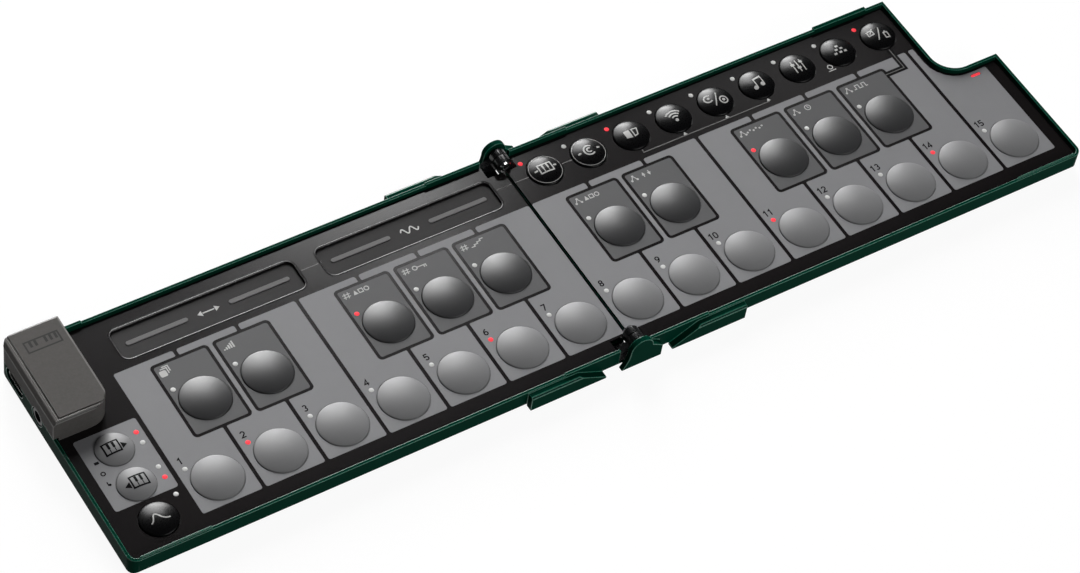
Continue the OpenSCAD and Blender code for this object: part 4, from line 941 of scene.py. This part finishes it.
# Its rounded edges are paler and a little glossy: the paler colour is a painted highlight.
charcoal_edge_painted_highlight = plastic("rubbed_charcoal_abs", "#686664", "#787674", 2.0, 0.5, 0.004, (0.32, 0.42, 0.4))
BLOCK_EDGE, BLOCK_TOP, BLOCK_SIGN, BLOCK_SINK = 0.2, 14.6, (-154.6, 33.4), 0.022
block = moulding("block_cover", "raised_block", BLOCK_EDGE, charcoal_abs)
block.data.materials.append(charcoal_edge_painted_highlight)
# The rounded edges take the painted highlight.
block.modifiers["moulded edges"].material = 1
# A small picture of a keyboard, sunk into the top and filled with black.
sunk_ink = plastic("black_filled_engraving", "#1b1b1a", "#242423", 1.2, 0.3, 0.01, (0.55, 0.65, 0.2))
block_keys = [frame_of(-5.2, -1.9, 5.2, 1.9, 0.5)]
block_keys += [bar(-3.9 + 1.55 * k, -0.4, -3.1 + 1.55 * k, 1.62) for k in (0, 1, 3, 4, 5)]
block_sign = moved(block_keys, *BLOCK_SIGN)
printed("block_sign", block_sign, PRINT, BLOCK_TOP + PRINT / 2 - BLOCK_SINK, sunk_ink, "left_half")


# Sockets: a USB-C socket in drawn steel with a black tongue, and a 3.5 mm jack in black nylon.
# Both are soldered to the board and look out of the block's left face.
def metal(name, deep, pale, patch_mm, stretch, gloss):
    """Bare metal with two close tones in fine streaks along one axis."""
    finish, tree = blank(bpy.data.materials, name)
    place = add(tree, "ShaderNodeTexCoord").outputs["Object"]
    pulled = add(tree, "ShaderNodeMapping", {"Vector": place, "Scale": stretch})
    streaks, colour = two_tones(tree, deep, pale, patch_mm, {"Vector": pulled, "Detail": 3.0})
    surface(tree, colour, streaks, gloss, {"Metallic": 1.0})
    return finish


# Drawn, nickel-plated steel: a soft silver with faint lines along the draw.
drawn_steel = metal("drawn_nickel_steel", "#9a9a98", "#bcbcba", 0.4, (0.2, 1.0, 1.0), (0.22, 0.34))
# Moulded nylon: black with a dull, slightly waxy shine.
black_nylon = plastic("moulded_black_nylon", "#101011", "#18181a", 1.2, 0.4, 0.006, (0.40, 0.55, 0.5))
USB_EDGE, JACK_EDGE = 0.06, 0.1
usb = moulding("usb_socket", "usb_c_socket", USB_EDGE, drawn_steel, 2)
usb.data.materials.append(black_nylon)
usb_low, usb_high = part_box("usb_socket")
usb_mid = (usb_low + usb_high) / 2
TONGUE_HALF_W, TONGUE_HALF_T = 3.4, 0.4
for face in usb.data.polygons:
    off = face.center - usb_mid
    if abs(off.y) < TONGUE_HALF_W * MM and abs(off.z) < TONGUE_HALF_T * MM:
        face.material_index = 1
moulding("jack_socket", "jack_socket_body", JACK_EDGE, black_nylon, 2)


# Hinge: stamped steel brackets in black lacquer on both halves, which turn on two chromed pins.
# The pins are pressed into the ears of the right tray.
# Lacquered steel: a smooth black with small sharp lights.
black_lacquer = plastic("black_lacquered_steel", "#0d0d0e", "#141416", 4.0, 0.4, 0.001, (0.22, 0.34, 0.6))
# Chrome: a clear mirror that flashes white beside the black brackets.
chrome = metal("polished_chrome", "#d2d2d4", "#e4e4e6", 0.6, (1.0, 0.3, 1.0), (0.06, 0.14))
BRACKET_EDGE = 0.12
for side in ("left", "right"):
    moulding(f"{side}_hinge_brackets", f"{side}_brackets", BRACKET_EDGE, black_lacquer, 2)
PIN_R, PIN_CHAMFER, HEAD_EDGE, HEAD_CHAMFER, PIN_HEAD_T, HEAD_SEAT = 1.2, 0.15, 1.9, 0.32, 0.9, 35.2
pin_low, pin_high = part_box("hinge_pins")
pin_tip = pin_high.y / MM
head_face = HEAD_SEAT - PIN_HEAD_T
# The head's face has a ring groove round a low button.
pin_profile = [(0, pin_tip), (PIN_R - PIN_CHAMFER, pin_tip), (PIN_R, pin_tip - PIN_CHAMFER),
               (PIN_R, HEAD_SEAT), (HEAD_EDGE, HEAD_SEAT), (HEAD_EDGE, head_face + HEAD_CHAMFER),
               (HEAD_EDGE - HEAD_CHAMFER, head_face), (1.3, head_face), (1.16, head_face + 0.2),
               (0.94, head_face + 0.2), (0.8, head_face + 0.02), (0.4, head_face), (0, head_face)]
pins = []
for end in (1, -1):
    pin = turned("pin", pin_profile, 0, 0, 48)
    pin.transform(Matrix(((1, 0, 0, 0), (0, 0, end, 0), (0, -end, 0, pin_low.z + HEAD_EDGE * MM),
                          (0, 0, 0, 1))))
    pins.append(pin)
pins = joined(pins)
bmesh.ops.recalc_face_normals(pins, faces=pins.faces)
pin_piece = piece_of(as_mesh(pins, "chromed_pins"), cad["hinge_pins"]["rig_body"], chrome)
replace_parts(pin_piece, "hinge_pins")


# Screws and feet: zinc-plated pan heads with a cross recess, sunk in the trays' floors, and rubber feet
# glued into round pockets. Nodes set one form at each place, found from the loose solids of the CAD node.
def places(node):
    """Middle and height of each loose solid of a CAD node, in mm."""
    form = bmesh.new()
    form.from_mesh(cad[node].data)
    bmesh.ops.remove_doubles(form, verts=form.verts, dist=SAME_POINT * MM)
    left, found = set(form.verts), []
    while left:
        group = [left.pop()]
        for v in group:
            near = left.intersection(w for link in v.link_edges for w in link.verts)
            left -= near
            group += near
        low, high = ([pick(v.co[k] for v in group) / MM for k in range(3)] for pick in (min, max))
        found.append(((low[0] + high[0]) / 2, (low[1] + high[1]) / 2, high[2]))
    form.free()
    return sorted(found)


form_tree, given, form_keys = tree_of("one_form_at_each_point", Object=("Form",), Material=("Finish",))
shape = add(form_tree, "GeometryNodeObjectInfo", {"Object": given["Form"]})
dressed = at_each_point(form_tree, given, shape.outputs["Geometry"], given["Finish"])
add(form_tree, "NodeGroupOutput", {"Geometry": dressed})

# Zinc plate: a bluish silver, a little cloudy.
zinc = metal("zinc_plated_steel", "#8f9298", "#b4b7bc", 0.5, (1.0, 1.0, 0.3), (0.24, 0.36))
# Moulded rubber: black and dull, with a soft grain.
foot_rubber = plastic("moulded_black_rubber", "#141415", "#1c1c1d", 4.0, 0.5, 0.02, (0.62, 0.75, 0.3))
SCREW_TOPS = (3.2, 4.5)
HEAD_Z, HEAD_R, HEAD_T, SHANK_R, RECESS = 1.1, 1.5, 0.6, 0.8, 0.32
ARM_W, ARM_L = 0.22, 0.95
cross = [(-ARM_W, -ARM_L), (ARM_W, -ARM_L), (ARM_W, -ARM_W)]
for _ in range(3):
    cross += [(-y, x) for x, y in cross[-3:]]
forms = {}
for top in SCREW_TOPS:
    profile = [(0, HEAD_Z + RECESS), (HEAD_R, HEAD_Z + RECESS), (HEAD_R, HEAD_Z + HEAD_T),
               (SHANK_R, HEAD_Z + HEAD_T), (SHANK_R, top - 0.4), (0.3, top), (0, top)]
    shank = turned("shank", profile, 0, 0, 32)
    head = as_mesh(filled([[disc(0, 0, HEAD_R - 0.12, 32), cross]], RECESS), "head_face")
    head.transform(Matrix.Scale(MM, 4) @ Matrix.Translation((0, 0, HEAD_Z + RECESS / 2)))
    forms[top] = bpy.data.objects.new("screw_form", as_mesh(joined([shank, head]), "screw_form"))
FOOT_R, FOOT_TOP = 4.0, 1.3
foot_profile = [(0, 0.12), (2.2, 0.12), (2.35, 0.0), (FOOT_R - 0.5, 0.0), (FOOT_R - 0.15, 0.15),
                (FOOT_R, 0.5), (FOOT_R, FOOT_TOP), (0, FOOT_TOP)]
foot_form = bpy.data.objects.new("foot_form", turned("foot_form", foot_profile, 0, 0, 56))
for side in ("left", "right"):
    parts = []
    for top, form in forms.items():
        spots = [(x, y, 0) for x, y, high in places(f"{side}_screws") if abs(high - top) < 0.1]
        parts.append(at_points("screws", spots, form_tree, form_keys, {"Form": form, "Finish": zinc}))
    screws = as_mesh(joined(parts), f"{side}_screw_set")
    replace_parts(piece_of(screws, f"{side}_half", zinc), f"{side}_screws")
    spots = [(x, y, 0) for x, y, _ in places(f"{side}_feet")]
    feet = at_points(f"{side}_rubber_feet", spots, form_tree, form_keys,
                     {"Form": foot_form, "Finish": foot_rubber})
    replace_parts(piece_of(feet, f"{side}_half", None), f"{side}_feet")
for form in list(forms.values()) + [foot_form]:
    bpy.data.batch_remove([form, form.data])
